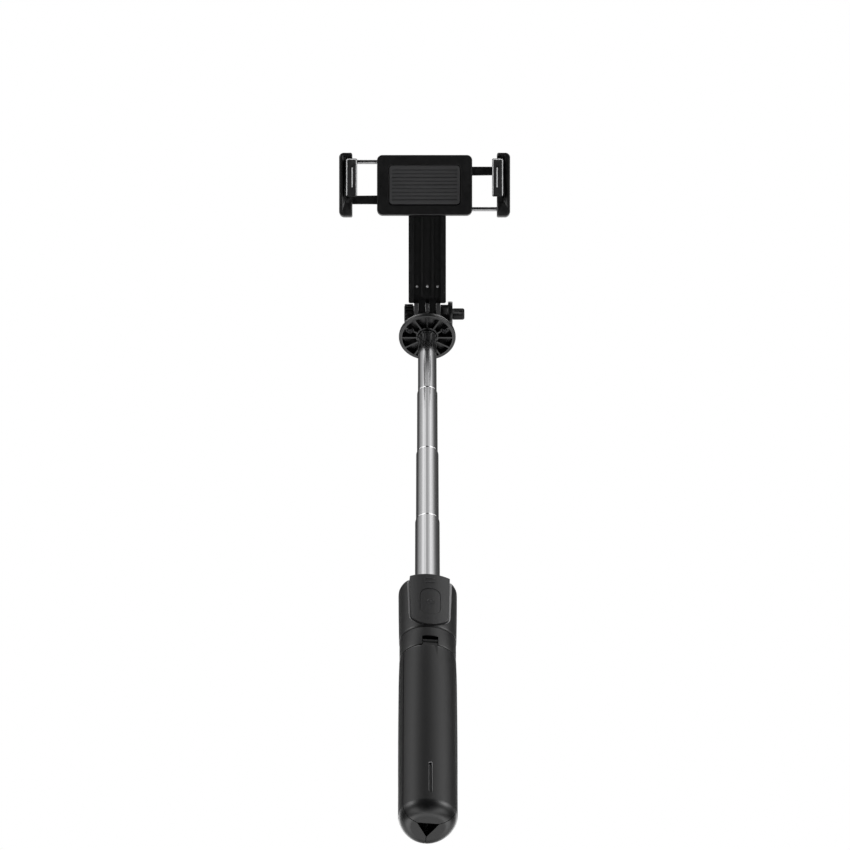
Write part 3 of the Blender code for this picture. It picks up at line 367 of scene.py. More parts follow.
def carve(obj, operation, *others):
    """Cuts, joins or keeps obj with each of the others, and takes the others away."""
    for other in others:
        boolean = obj.modifiers.new(other.name, "BOOLEAN")
        boolean.operation = operation
        boolean.solver = "EXACT"
        boolean.object = other
    bpy.context.view_layer.update()
    baked(obj)
    for other in others:
        bpy.data.objects.remove(other)
    return obj


def cut(obj, *others):
    return carve(obj, "DIFFERENCE", *others)


def join(obj, *others):
    return carve(obj, "UNION", *others)


def flared(name, outline, plane, stops):
    """A cutter lofted between outlines: each stop is (depth, growth), or a function that gives the
    depth at a point. Its sloping sides carry the light grey painted highlight."""
    bm = bmesh.new()
    rings = []
    for depth_at, growth in stops:
        ring = []
        for a, b in outline(growth):
            s = depth_at(a, b) if callable(depth_at) else depth_at
            ring.append(bm.verts.new(on_plane(plane, a, b, s)))
        rings.append(ring)
    for level, (low, high) in enumerate(zip(rings, rings[1:])):
        for i in range(len(low)):
            j = (i + 1) % len(low)
            face = bm.faces.new((low[i], low[j], high[j], high[i]))
            # Slot 1, the sloping band, is where the light grey painted highlight goes.
            face.material_index = 1 if level == 1 else 0
    bm.faces.new(rings[0])
    bm.faces.new(rings[-1])
    bmesh.ops.triangulate(bm, faces=[f for f in bm.faces if len(f.verts) > 4])
    made = new_object(name, bm)
    made.data.materials.append(None)
    made.data.materials.append(None)
    return made


def marked(obj):
    """Gives a piece room for the light grey painted highlight that a flared cutter leaves."""
    while len(obj.data.materials) < 2:
        obj.data.materials.append(None)
    return obj


def tidy(obj):
    """Merges doubled points and faces that lie in one plane, so that an edge rounds cleanly."""
    bm = bmesh.new()
    bm.from_mesh(obj.data)
    bmesh.ops.remove_doubles(bm, verts=bm.verts, dist=2e-6)
    bmesh.ops.dissolve_limit(bm, angle_limit=math.radians(FLAT_DEGREES), verts=bm.verts,
                             edges=bm.edges, delimit={"NORMAL", "MATERIAL"})
    bmesh.ops.recalc_face_normals(bm, faces=bm.faces)
    bm.to_mesh(obj.data)
    bm.free()
    return obj


def rounded(obj, width, segments=3, angle=32, clamp=False):
    """Rounds every edge sharper than angle."""
    tidy(obj)
    obj.data.shade_smooth()
    bevel = obj.modifiers.new("rounding", "BEVEL")
    bevel.width = width * MM
    bevel.segments = segments
    bevel.limit_method = "ANGLE"
    bevel.angle_limit = math.radians(angle)
    bevel.use_clamp_overlap = clamp
    bevel.miter_outer = "MITER_ARC"
    weighted = obj.modifiers.new("even_shading", "WEIGHTED_NORMAL")
    weighted.keep_sharp = True
    bpy.context.view_layer.update()
    return baked(obj)


def dress(obj, body, slot, nodes=(), sharp=40, paint=None):
    """Gives a finished piece its finish (from its slot unless paint is given) and its CAD body, and hides the CAD
    nodes it stands for.
    """
    mesh = obj.data
    marks = [p.material_index for p in mesh.polygons]
    mesh.materials.clear()
    mesh.materials.append(paint or SLOT_FINISH[slot])
    # Faces marked 1 get the light grey painted highlight.
    if any(marks):
        mesh.materials.append(PAINTED_HIGHLIGHT)
        mesh.polygons.foreach_set("material_index", marks)
    if sharp:
        mesh.shade_smooth()
        mesh.set_sharp_from_angle(angle=math.radians(sharp))
    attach(obj, body)
    if nodes:
        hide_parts(*nodes)
    print(f"{obj.name}: {len(mesh.polygons)} faces on {body}")
    return obj


def moved(obj, matrix):
    """Puts a mesh made in a piece's own frame into the row frame."""
    obj.data.transform(matrix)
    return obj


# %% [markdown]
# The handle sits turned a few degrees from the pole, which has that much play, and the clamp leans
# forward on its hinge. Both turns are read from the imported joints, so the finer pieces land exactly
# where the CAD pieces are.

# %% Frames of the handle, the holder and the clamp
joint = {j["name"]: j for j in frame["joints"]}
leg_axis = joint["leg_front_hinge"]["axis"]
HANDLE = Matrix.Rotation(math.atan2(-leg_axis[1], -leg_axis[0]), 4, "Z")
fold_pin = Vector(joint["fold"]["pos_m"])
clamp_axis = joint["swivel"]["axis"]
LEAN = math.atan2(-clamp_axis[2], -clamp_axis[1])
HOLDER = Matrix.Translation(fold_pin) @ Matrix.Rotation(LEAN, 4, "X")
CLAMP = HOLDER @ Matrix.Translation(HOLDER.inverted() @ Vector(joint["swivel"]["pos_m"]))
HEAD = Matrix.Translation((0, 0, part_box("ribbed_disc")[0].z))
print("handle turned", round(math.degrees(HANDLE.to_euler().z), 2), "and holder leaning",
      round(math.degrees(LEAN), 2), "degrees")

# %% [markdown]
# Each leg is a third of a rounded tube, thick enough to stand on, with a tab at its top that turns on a
# steel pin in the collar. Spinning one profile, keeping a third of it and adding the tab gives the
# front leg; the others are the same mesh turned by 120 and 240 degrees.

# %% Legs
LEG_TOP, LEG_R, LEG_WALL, FOOT_R = 117.0, 14.7, 2.2, 6.6
PIN_R, PIN_Z, PIN_BORE = 11.2, 120.4, 1.15
TAB_W = 7.6
HOLE_SIDE = 11.3  # the three-cornered opening between the closed feet


def leg_profile():
    inner, foot_in = LEG_R - LEG_WALL, FOOT_R - LEG_WALL
    shoulder = [(LEG_R - 0.75, LEG_TOP), (LEG_R - 0.45, LEG_TOP - 0.12),
                (LEG_R - 0.22, LEG_TOP - 0.5), (LEG_R - 0.12, LEG_TOP - 1.4),
                (LEG_R - 0.05, LEG_TOP - 5), (LEG_R + 0.08, LEG_TOP - 11),
                (LEG_R + 0.15, LEG_TOP - 18), (LEG_R + 0.2, 75.0), (LEG_R + 0.2, 60.0),
                (LEG_R + 0.12, 38.0), (LEG_R + 0.03, 25.0), (LEG_R, 12.0)]
    foot = arc(LEG_R - FOOT_R, FOOT_R, FOOT_R, 0, -90, 18)
    back = arc(inner - foot_in, FOOT_R, foot_in, -90, 0, 8)
    return shoulder + foot + [(2.0, 0.0), (2.0, LEG_WALL)] + back + [
        (inner, LEG_TOP - 1.4), (LEG_R - 1.4, LEG_TOP)]


def leg_sector():
    """Seen along the stick: the third of the ring that one leg fills, less half the seam. Its long
    outer corners are broken, so that the seam shows."""
    seam, half = 0.15, math.radians(60)
    chord = HOLE_SIDE / (2 * math.sqrt(3))
    side = HOLE_SIDE / 2 - seam / math.cos(half)

    def on_seam(radius, inset):
        along = (math.sin(half), -math.cos(half))
        inward = (-math.cos(half), -math.sin(half))
        return [along[k] * radius + inward[k] * (seam + inset) for k in (0, 1)]

    right = [on_seam(LEG_R * 1.03 - 0.55, 0), on_seam(LEG_R * 1.03 - 0.15, 0.12),
             on_seam(LEG_R * 1.03 + 0.45, 0.75), (12.0, -40.0)]
    left = [(-x, y) for x, y in right]
    return [(-side, -chord)] + left + right[::-1] + [(side, -chord)]


def front_leg():
    half = TAB_W / 2
    leg = turned("front", leg_profile(), lobed=True)
    carve(leg, "INTERSECT", plate("sector", leg_sector(), "XY", (-1, LEG_TOP + 1)))
    tab_side = [(-13.3, LEG_TOP - 12), (-13.95, LEG_TOP - 6), (-13.95, 118.2),
                (-PIN_R, PIN_Z), (-PIN_R + 1.9, 118.6), (-PIN_R + 1.9, LEG_TOP - 5)]
    tab = plate("tab", tab_side, "YZ", (-half, half))
    knuckle = rod("knuckle", 2.3, "X", (-half + 0.05, half - 0.05), (-PIN_R, PIN_Z))
    join(leg, tab, knuckle)
    bore = rod("bore", PIN_BORE, "X", (-10, 10), (-PIN_R, PIN_Z))
    # The slot's flared rim takes the light grey painted highlight.
    slot = flared("slot", lambda grow: round_rect((-0.8 - grow, 0.8 + grow),
                                                  (10.7 - grow, 31.5 + grow), 0.75 + grow),
                  "XZ", [(-13.35, 0.0), (-14.15, 0.0), (-14.6, 0.3), (-17, 0.3)])
    cut(marked(leg), bore, slot)
    return rounded(leg, 0.22, segments=3, angle=38, clamp=True)


leg_model = front_leg()
for azimuth, name in ((0, "leg_front"), (120, "leg_right"), (240, "leg_left")):
    leg = bpy.data.objects.new(name + "_shell", leg_model.data.copy())
    bpy.context.scene.collection.objects.link(leg)
    moved(leg, HANDLE @ Matrix.Rotation(math.radians(azimuth), 4, "Z"))
    dress(leg, name, "satin_black", [name])
bpy.data.objects.remove(leg_model)

# %% [markdown]
# The collar is one turned ring with a notch and a pin hole for each leg, and a seat for each screw
# between them. It is plain and mostly in shade, so a small rounding of its edges is enough.

# %% Collar
COLLAR_TOP, NOTCH_TOP, CENTRE_R = 130.2, 123.4, 7.05
SCREW_CIRCLE = 10.7  # how far the collar's screws stand from the axis
HOUSING_LOW, HOUSING_TOP = 130.5, 169.0
LOW_R, TOP_R = 14.8, 15.25


def collar():
    bore, top = CENTRE_R + 0.3, LOW_R - 0.25
    profile = [(top - 0.3, COLLAR_TOP), (top, COLLAR_TOP - 0.4), (top - 0.02, 124.0),
               (top - 0.05, LEG_TOP + 0.8), (top - 0.4, LEG_TOP + 0.3), (bore, LEG_TOP + 0.3),
               (bore, COLLAR_TOP)]
    ring = turned("collar_ring", profile, lobed=True)
    half = TAB_W / 2 + 0.3
    for azimuth in (0, 120, 240):
        around = Matrix.Rotation(math.radians(azimuth), 4, "Z")
        notch = moved(bar("notch", (-half, half), (-18, -8.2), (LEG_TOP - 2, NOTCH_TOP)), around)
        hole = moved(rod("hole", PIN_BORE, "X", (-6.9, 6.9), (-PIN_R, PIN_Z)), around)
        cut(ring, notch, hole)
    for i in range(3):
        angle = math.radians(60 + 120 * i)
        x, y = SCREW_CIRCLE * math.sin(angle), -SCREW_CIRCLE * math.cos(angle)
        cut(ring, rod("seat", 2.0, "Z", (LEG_TOP - 1, LEG_TOP + 2.1), (x, y)),
            rod("shaft", 1.15, "Z", (LEG_TOP - 1, COLLAR_TOP + 1), (x, y)))
    return rounded(ring, 0.18, segments=2, angle=45, clamp=True)


dress(moved(collar(), HANDLE), "handle", "dark_grey", ["leg_collar"], paint=SATIN_BLACK)

# %% [markdown]
# The upper grip is turned too, and its front is cut away into a cradle for the remote. The cradle's rim
# flares outwards, so that a thumb can slide over it. A cutter lofted between two outlines makes the
# flare, and its sloping band is painted light grey on both sides as a highlight.

# %% Upper grip
REMOTE_W, REMOTE_TOP_W, REMOTE_LOW, REMOTE_TOP = 19.8, 21.0, 131.9, 169.9
REMOTE_FACE, REMOTE_FACE_R, REMOTE_BACK = 14.6, 24.4, 8.3


def remote_outline(grow=0.0, top=REMOTE_TOP, steps=40):
    """Seen from the front: straight sides that spread a little upwards, and a round lower end."""
    radius = REMOTE_W / 2 + grow
    half_top = REMOTE_TOP_W / 2 + grow
    return arc(0, REMOTE_LOW + REMOTE_W / 2, radius, 180, 360, steps) + [(half_top, top),
                                                                       (-half_top, top)]


def grip():
    bore = CENTRE_R + 0.2
    profile = [(TOP_R - 1.3, HOUSING_TOP), (TOP_R - 0.75, HOUSING_TOP - 0.12),
               (TOP_R - 0.3, HOUSING_TOP - 0.5), (TOP_R - 0.05, HOUSING_TOP - 1.2),
               (TOP_R, HOUSING_TOP - 2.2), (TOP_R - 0.12, HOUSING_TOP - 16),
               (LOW_R + 0.15, HOUSING_LOW + 10), (LOW_R + 0.05, HOUSING_LOW + 4),
               (LOW_R, HOUSING_LOW + 1.0), (LOW_R - 0.2, HOUSING_LOW + 0.35),
               (LOW_R - 0.55, HOUSING_LOW + 0.04), (LOW_R - 0.9, HOUSING_LOW),
               (bore, HOUSING_LOW), (bore, HOUSING_TOP)]
    body = turned("upper_grip", profile, lobed=True)

    def skin(x):
        """Depth of the grip's own surface at a distance from its middle line."""
        angle = math.asin(max(-1, min(1, x / TOP_R)))
        return -math.sqrt(max(0.0, (TOP_R * lobe_scale(angle, TOP_R)) ** 2 - x ** 2))

    # The flare's sloping band takes the light grey painted highlight.
    cradle = flared("cradle", lambda grow: remote_outline(0.2 + grow, HOUSING_TOP + 2),
                    "XZ", [(-REMOTE_BACK + 0.3, 0.0), (lambda x, z: skin(x) + 1.3, 0.0),
                           (lambda x, z: skin(x) - 0.25, 1.35), (-20, 1.35)])
    seat = rod("ring_seat", 9.0, "Z", (HOUSING_TOP - 3.2, HOUSING_TOP + 1))
    cut(marked(body), cradle, seat)
    return rounded(body, 0.2, segments=2, angle=40, clamp=True)


dress(moved(grip(), HANDLE), "handle", "satin_black", ["upper_housing"])

# %% [markdown]
# The remote is a shallow tray with a gently crowned face: its outline is a plate, kept only where it
# lies inside a wide cylinder. The button is cut from the same crown, so the two faces run on smoothly
# across a hairline gap.

# %% Remote and button
BUTTON_X, BUTTON_Z, BUTTON_CORNER = 5.4, (139.6, 158.9), 4.6


def crown(radius_less=0.0):
    """The wide cylinder whose front is the remote's face."""
    radius = REMOTE_FACE_R - radius_less
    return rod("crown", radius, "Z", (REMOTE_LOW - 5, REMOTE_TOP + 5),
               (0, REMOTE_FACE_R - REMOTE_FACE), steps=360)


def button_outline(grow):
    return round_rect((-BUTTON_X - grow, BUTTON_X + grow),
                      (BUTTON_Z[0] - grow, BUTTON_Z[1] + grow), BUTTON_CORNER + grow, 14)


shell = plate("remote_shell", remote_outline(), "XZ", (-20, -9.3))
carve(shell, "INTERSECT", crown())
cut(shell, plate("cavity", remote_outline(-1.3, REMOTE_TOP - 1.3), "XZ", (-12, -5)),
    plate("window", button_outline(0.0), "XZ", (-20, -10)),
    rod("led_hole", 0.5, "Y", (-20, -10), (-6.6, 149.3), 24))
dress(moved(rounded(shell, 0.2, angle=38, clamp=True), HANDLE), "remote", "dark_grey",
      ["remote_front_shell"])
button = plate("button_cap", button_outline(-0.2), "XZ", (-20, -11.6))
carve(button, "INTERSECT", crown(0.15))
button = rounded(button, 0.2, angle=38, clamp=True)
join(button, plate("flange", button_outline(0.7), "XZ", (-11.75, -11.2)))
dress(moved(button, HANDLE), "shutter_button", "dark_grey", ["shutter_button"])

# %% [markdown]
# The small raised mark on the button and the two short grip lines near the remote's top are the only
# relief on its face. The mark is a plain arch over a bar, swept along a curve; the grip lines are one
# little bar repeated by Geometry Nodes, which take the bar, how many, and the step between them.

# %% Repeating trees
def new_tree(name, inputs):
    """A Geometry Nodes tree with named inputs and one geometry output."""
    tree = bpy.data.node_groups.new(name, "GeometryNodeTree")
    tree.interface.new_socket("Geometry", in_out="INPUT", socket_type="NodeSocketGeometry")
    for label, kind in inputs:
        tree.interface.new_socket(label, in_out="INPUT", socket_type=kind)
    tree.interface.new_socket("Geometry", in_out="OUTPUT", socket_type="NodeSocketGeometry")
    return tree, tree.nodes.new("NodeGroupInput"), tree.nodes.new("NodeGroupOutput")


def end_tree(tree, given, output, points, turn=None):
    """Puts the source piece on each point, makes the copies real and gives them their finish."""
    source = tree.nodes.new("GeometryNodeObjectInfo")
    link(tree, given.outputs["Piece"], source.inputs["Object"])
    copies = tree.nodes.new("GeometryNodeInstanceOnPoints")
    link(tree, points, copies.inputs["Points"])
    link(tree, source.outputs["Geometry"], copies.inputs["Instance"])
    if turn is not None:
        link(tree, turn, copies.inputs["Rotation"])
    real = tree.nodes.new("GeometryNodeRealizeInstances")
    paint = tree.nodes.new("GeometryNodeSetMaterial")
    link(tree, copies.outputs["Instances"], real.inputs["Geometry"])
    link(tree, real.outputs["Geometry"], paint.inputs["Geometry"])
    link(tree, given.outputs["Finish"], paint.inputs["Material"])
    link(tree, paint.outputs["Geometry"], output.inputs["Geometry"])
    return tree


def row_tree():
    """Copies of a piece in a straight row."""
    tree, given, output = new_tree("row_of_pieces", [
        ("Piece", "NodeSocketObject"), ("Count", "NodeSocketInt"), ("Step", "NodeSocketVector"),
        ("Finish", "NodeSocketMaterial")])
    line = tree.nodes.new("GeometryNodeMeshLine")
    link(tree, given.outputs["Count"], line.inputs["Count"])
    link(tree, given.outputs["Step"], line.inputs["Offset"])
    return end_tree(tree, given, output, line.outputs["Mesh"])


def ring_tree():
    """Copies of a piece spaced evenly round the Z axis, each turned to face outwards."""
    tree, given, output = new_tree("ring_of_pieces", [
        ("Piece", "NodeSocketObject"), ("Count", "NodeSocketInt"), ("Finish", "NodeSocketMaterial")])
    line = tree.nodes.new("GeometryNodeMeshLine")
    link(tree, given.outputs["Count"], line.inputs["Count"])
    line.inputs["Offset"].default_value = (0, 0, 0)
    index = tree.nodes.new("GeometryNodeInputIndex")
    step = tree.nodes.new("ShaderNodeMath")
    step.operation = "DIVIDE"
    step.inputs[0].default_value = 2 * math.pi
    link(tree, given.outputs["Count"], step.inputs[1])
    angle = tree.nodes.new("ShaderNodeMath")
    angle.operation = "MULTIPLY"
    link(tree, index.outputs[0], angle.inputs[0])
    link(tree, step.outputs[0], angle.inputs[1])
    turn = tree.nodes.new("ShaderNodeCombineXYZ")
    link(tree, angle.outputs[0], turn.inputs["Z"])
    return end_tree(tree, given, output, line.outputs["Mesh"], turn.outputs[0])


ROW, RING = row_tree(), ring_tree()


def repeated(name, tree, piece, **inputs):
    """Runs a repeating tree on an empty mesh and returns the copies as one plain mesh.

    Slot 1 is kept for the light grey painted highlight, so every face goes back to slot 0."""
    host = bpy.data.objects.new(name, bpy.data.meshes.new(name))
    bpy.context.scene.collection.objects.link(host)
    nodes = host.modifiers.new("repeat", "NODES")
    nodes.node_group = tree
    sockets = {i.name: i.identifier for i in tree.interface.items_tree
               if i.item_type == "SOCKET" and i.in_out == "INPUT"}
    for label, value in {"Piece": piece, **inputs}.items():
        nodes[sockets[label]] = value
    bpy.context.view_layer.update()
    baked(host)
    host.data.polygons.foreach_set("material_index", [0] * len(host.data.polygons))
    bpy.data.objects.remove(piece)
    return host


print("trees:", ROW.name, RING.name)

# %% Grip lines and button mark
GRIP_Z, GRIP_STEP = 163.8, 2.8


def remote_front(x):
    """Depth of the remote's face at a distance from its middle line."""
    return REMOTE_FACE_R - REMOTE_FACE - math.sqrt(REMOTE_FACE_R ** 2 - x ** 2)


def grip_bar():
    """A thin bar that follows the crown, about a quarter of a millimetre proud."""
    half = 2.5
    across = [half * (i / 12 * 2 - 1) for i in range(13)]
    front = [(x, remote_front(x) - 0.2) for x in across]
    rear = [(x, remote_front(x) + 0.3) for x in reversed(across)]
    return rounded(plate("grip_bar", front + rear, "XY", (GRIP_Z - 0.2, GRIP_Z + 0.2)), 0.08)


lines = repeated("grip_lines", ROW, grip_bar(), Count=2, Step=(0, 0, GRIP_STEP * MM),
                 Finish=HINGE_GREY)
dress(moved(lines, HANDLE), "remote", "dark_grey", paint=HINGE_GREY)


def swept(name, points, radius, closed=False, sides=12):
    """A round bead through the points, with closed ends, in the light grey painted highlight finish."""
    bm = bmesh.new()
    rings = []
    count = len(points)
    for i, point in enumerate(points):
        here = Vector(point)
        before = Vector(points[i - 1] if i or closed else points[i])
        after = Vector(points[(i + 1) % count] if i + 1 < count or closed else points[i])
        along = (after - before).normalized()
        side = along.orthogonal() if not rings else (side - along * side.dot(along))
        side.normalize()
        other = along.cross(side)
        rings.append([bm.verts.new(here + radius * (math.cos(t) * side + math.sin(t) * other))
                      for t in (2 * math.pi * k / sides for k in range(sides))])
    for a, b in zip(rings, rings[1:] + (rings[:1] if closed else [])):
        for k in range(sides):
            m = (k + 1) % sides
            bm.faces.new((a[k], a[m], b[m], b[k]))
    if not closed:
        bm.faces.new(rings[0])
        bm.faces.new(rings[-1])
    for face in bm.faces:
        face.material_index = 1
    return marked(new_object(name, bm))


MARK_Z, MARK_R, MARK_HALF, DOT_R = 149.0, 1.75, 2.1, 0.28
CAP_SUNK = 0.15  # how far the button's face lies behind the remote's
CAP_R, CAP_MIDDLE = REMOTE_FACE_R - CAP_SUNK, REMOTE_FACE_R - REMOTE_FACE


def on_cap(x, z):
    """A point of the button's crowned face."""
    return (x, CAP_MIDDLE - math.sqrt(CAP_R ** 2 - x ** 2), z)


arch = [on_cap(x, z) for x, z in arc(0, MARK_Z, MARK_R, 10, 170, 20)]
bar_line = [on_cap(MARK_HALF * (i / 4 - 1), MARK_Z - 1.1) for i in range(9)]
dot = [(x, CAP_MIDDLE - CAP_R, z) for x, z in circle(0, MARK_Z + 0.35, DOT_R, 12)]
mark = join(swept("button_mark", arch, 0.17), swept("mark_bar", bar_line, 0.15),
            swept("mark_dot", dot, 0.15, closed=True))
mark.data.polygons.foreach_set("material_index", [0] * len(mark.data.polygons))  # not given the painted highlight
dress(moved(mark, HANDLE), "shutter_button", "dark_grey", paint=HINGE_GREY)

# %% [markdown]
# The four sliding tubes are thin drawn steel. Each has a shallow key groove down its front, so that it
# can't twist in the next one, and its top is rolled in where the thinner tube comes out. The outline is
# stacked up the tube like slices, the last few shrinking in, which gives the groove and the roll in one
# mesh.

# %% Sliding tubes
TUBE_WALL, GROOVE_HALF, GROOVE_DEEP = 0.25, 1.15, 0.19
TUBE_SIDES, CENTRE_LOW = 240, 8.6
ROLL = [(-1.5, 0.0), (-0.95, 0.06), (-0.5, 0.16), (-0.2, 0.27), (-0.03, 0.36),
        (0.0, 0.42)]  # distance from the top, and how far the wall is drawn in there


def tube_ring(radius):
    """A circle with the key groove at its front, as points."""
    ring = []
    for i in range(TUBE_SIDES):
        angle = 2 * math.pi * i / TUBE_SIDES
        x, y = radius * math.sin(angle), -radius * math.cos(angle)
        if y < 0:
            share = max(0.0, min(1.0, (GROOVE_HALF - abs(x)) / 0.28))
            deep = GROOVE_DEEP * share * share * (3 - 2 * share)
            scale = (radius - deep) / radius
            x, y = x * scale, y * scale
        ring.append((x, y))
    return ring


def sliding_tube(name, radius, low, high):
    """One tube: up its outside, over the roll, and down its inside, as rings."""
    bm = bmesh.new()
    levels = [(low, 0.0)] + [(high + drop, inward) for drop, inward in ROLL]
    levels += [(high - 0.08, 0.44), (high - 1.6, TUBE_WALL), (low, TUBE_WALL)]
    rings = []
    for z, inward in levels:
        rings.append([bm.verts.new((x, y, z)) for x, y in tube_ring(radius - inward)])
    for a, b in zip(rings, rings[1:] + rings[:1]):
        for i in range(TUBE_SIDES):
            j = (i + 1) % TUBE_SIDES
            bm.faces.new((a[i], a[j], b[j], b[i]))
    return new_object(name, bm)


for name, body in (("tube_4", "tube_4"), ("tube_3", "tube_3"), ("tube_2", "tube_2"),
                   ("tube_1", "head_base")):
    low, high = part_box(name)
    tube = sliding_tube(name + "_skin", (high.x - low.x) / 2 / MM, low.z / MM, high.z / MM)
    dress(tube, body, "polished_steel", [name], sharp=50)
low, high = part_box("centre_tube")
centre = turned("centre_tube_skin", [(CENTRE_R, high.z / MM), (CENTRE_R, CENTRE_LOW),
                                     (CENTRE_R - 0.3, CENTRE_LOW), (CENTRE_R - 0.3, high.z / MM)])
dress(centre, "handle", "polished_steel", ["centre_tube"])

# %% [markdown]
# The dished disc under the hinge is hollow underneath, with twelve thin spokes from hub to rim that
# keep it stiff at little weight. One spoke is made and a Geometry Nodes ring repeats it; the dish
# itself is turned.

# %% Ribbed disc
DISC_R, DISC_IN, FLOOR, TOP = 16.1, 14.1, 3.8, 5.8
TUBE_1_R = 5.2
BOSSES = ((-9.8, -4.6), (9.8, -4.6))


def dish():
    hub = TUBE_1_R + 0.3
    profile = ([(0, TOP), (11.0, TOP), (12.4, TOP - 0.2), (13.6, TOP - 0.7), (14.6, TOP - 1.5),
                (15.4, TOP - 2.4), (15.9, TOP - 3.4), (DISC_R, TOP - 4.4), (DISC_R, 0.6),
                (DISC_R - 0.08, 0.25), (DISC_R - 0.3, 0.05), (DISC_R - 0.55, 0.0)]
               + [(DISC_IN + 0.4, 0.0), (DISC_IN + 0.15, 0.08), (DISC_IN, 0.35),
                  (DISC_IN - 0.3, FLOOR), (hub + 1.0, FLOOR), (hub + 1.0, 1.0),
                  (hub + 0.9, 0.9), (hub + 0.1, 0.9), (hub, 1.0), (hub, FLOOR + 0.1),
                  (0, FLOOR + 0.1)])
    made = turned("ribbed_dish", profile, closed=False)
    for x, y in BOSSES:
        join(made, rod("boss", 2.1, "Z", (1.2, FLOOR + 0.3), (x, y)))
    for x, y in BOSSES:
        cut(made, rod("boss_hole", 1.05, "Z", (-1, TOP + 1), (x, y), 24))
    return made


dress(moved(dish(), HEAD), "head_base", "satin_black", ["ribbed_disc"])


def spoke():
    """One spoke, slightly narrower at its lower edge, as a moulded rib is."""
    inner, outer, low, high = TUBE_1_R + 0.9, DISC_IN + 0.3, 0.15, FLOOR + 0.15
    foot, head = 0.46, 0.58
    bm = bmesh.new()
    corners = [(-foot, low), (foot, low), (head, high), (-head, high)]
    near, far = [[bm.verts.new((r, y, z)) for y, z in corners] for r in (inner, outer)]
    bm.faces.new(near)
    bm.faces.new(far)
    for i in range(4):
        j = (i + 1) % 4
        bm.faces.new((near[i], near[j], far[j], far[i]))
    return new_object("spoke", bm)


spokes = repeated("disc_spokes", RING, spoke(), Count=12, Finish=SATIN_BLACK)
for x, y in BOSSES:
    cut(spokes, rod("screw_room", 2.3, "Z", (-1, 1.25), (x, y)),
        rod("screw_way", 1.0, "Z", (0, FLOOR + 0.6), (x, y), 24))
dress(moved(spokes, HEAD), "head_base", "satin_black")

# %% [markdown]
# The screws under the collar and the disc have the same pan head with a cross recess. One is made of
# each length, then repeated:
# a ring of three under the collar and a row of two under the disc.

# %% Screws
def screw(name, xy, head_low, head_r, head_h, shaft_top, shaft_r):
    """A pan-head screw seen from below, with its cross recess."""
    profile = [(0, head_low), (head_r * 0.55, head_low + 0.03), (head_r * 0.85, head_low + 0.16),
               (head_r, head_low + 0.45), (head_r, head_low + head_h), (shaft_r, head_low + head_h),
               (shaft_r, shaft_top), (0, shaft_top)]
    made = turned(name, profile, steps=40, closed=False)
    for turn in (0, 90):
        blade = bar("blade", (-head_r * 0.62, head_r * 0.62), (-head_r * 0.13, head_r * 0.13),
                    (head_low - 0.3, head_low + 0.55))
        cut(made, moved(blade, Matrix.Rotation(math.radians(turn + 20), 4, "Z")))
    return moved(made, Matrix.Translation((xy[0] * MM, xy[1] * MM, 0)))


collar_screw = screw("collar_screw", (0, 0), LEG_TOP + 0.5, 1.7, 1.3, HOUSING_LOW + 8, 0.9)
moved(collar_screw, Matrix.Translation((0, -SCREW_CIRCLE * MM, 0)))
moved(collar_screw, Matrix.Rotation(math.radians(60), 4, "Z"))
collar_screws = repeated("collar_screws", RING, collar_screw, Count=3, Finish=BLACKENED)
dress(moved(collar_screws, HANDLE), "handle", "fastener_steel",
      ["collar_screw_1", "collar_screw_2", "collar_screw_3"], paint=BLACKENED)
disc_screw = screw("disc_screw", BOSSES[0], -0.2, 1.7, 1.1, 8.4, 0.8)
disc_screws = repeated("disc_screws", ROW, disc_screw, Count=2,
                       Step=((BOSSES[1][0] - BOSSES[0][0]) * MM, 0, 0), Finish=BLACKENED)
dress(moved(disc_screws, HEAD), "head_base", "fastener_steel",
      ["disc_screw_left", "disc_screw_right"], paint=BLACKENED)

# %% [markdown]
# The hinge is the comb-and-comb kind that small camera gear uses: three fingers stand on the foot, two
# hang from the arm, and one bolt pulls them together. Each finger is a plate, round about the bolt.

# %% Hinge foot and fingers
PIN_H = (fold_pin.z - HEAD.translation.z) / MM
FINGER_R, BOLT_BORE = 6.2, 1.75
FOOT_LOW, FOOT_TOP = TOP + 0.3, TOP + 3.5


def finger_side(radius, foot, middle_z=0.0):
    """A finger from the side: round about the bolt, straight down to its foot."""
    return [(-radius, foot), (radius, foot)] + arc(0, middle_z, radius, 0, 180, 28)


foot = plate("hinge_foot", round_rect((-12.2, 12.2), (-6.6, 6.0), 3.0), "XY", (FOOT_LOW, FOOT_TOP))
for span in ((-7.5, -5.1), (-1.0, 1.0), (5.1, 7.5)):
    finger = plate("finger", finger_side(FINGER_R, FOOT_TOP - 0.5, PIN_H), "YZ", span)
    join(foot, finger)
cut(foot, rod("bore", BOLT_BORE, "X", (-10, 10), (0, PIN_H)))
for x, y in BOSSES:
    cut(foot, rod("blind", 1.05, "Z", (FOOT_LOW - 1, FOOT_LOW + 2.4), (x, y), 24))
dress(moved(rounded(foot, 0.3, angle=40, clamp=True), HEAD), "head_base", "satin_black", ["hinge_base"],
      paint=HINGE_GREY)

# %% [markdown]
# The nut sits in a ribbed cap on the left, and the thumb screw's boss, flange and flat lever are on the
# right. The cap's ribs are one bar repeated round the cap. Both are turned about Z first, because that
# is how the builders work, and then laid along the bolt.

# %% Nut cap and thumb screw
LAY = Matrix.Translation(fold_pin) @ Matrix.Rotation(math.radians(90), 4, "Y")


def cap_body():
    profile = [(0, -13.1), (4.2, -13.1), (4.65, -13.0), (4.85, -12.7), (4.9, -12.3), (4.9, -8.0),
               (4.8, -7.7), (4.5, -7.56), (2.85, -7.56), (2.85, -12.2), (0, -12.2)]
    return turned("nut_cap", profile, steps=96, closed=False)


def cap_rib():
    return rounded(bar("cap_rib", (4.6, 5.68), (-0.5, 0.5), (-12.85, -8.1)), 0.25)


dress(moved(cap_body(), LAY), "head_base", "satin_black", ["nut_knob"])
ribs = repeated("nut_cap_ribs", RING, cap_rib(), Count=16, Finish=SATIN_BLACK)
dress(moved(ribs, LAY), "head_base", "satin_black")


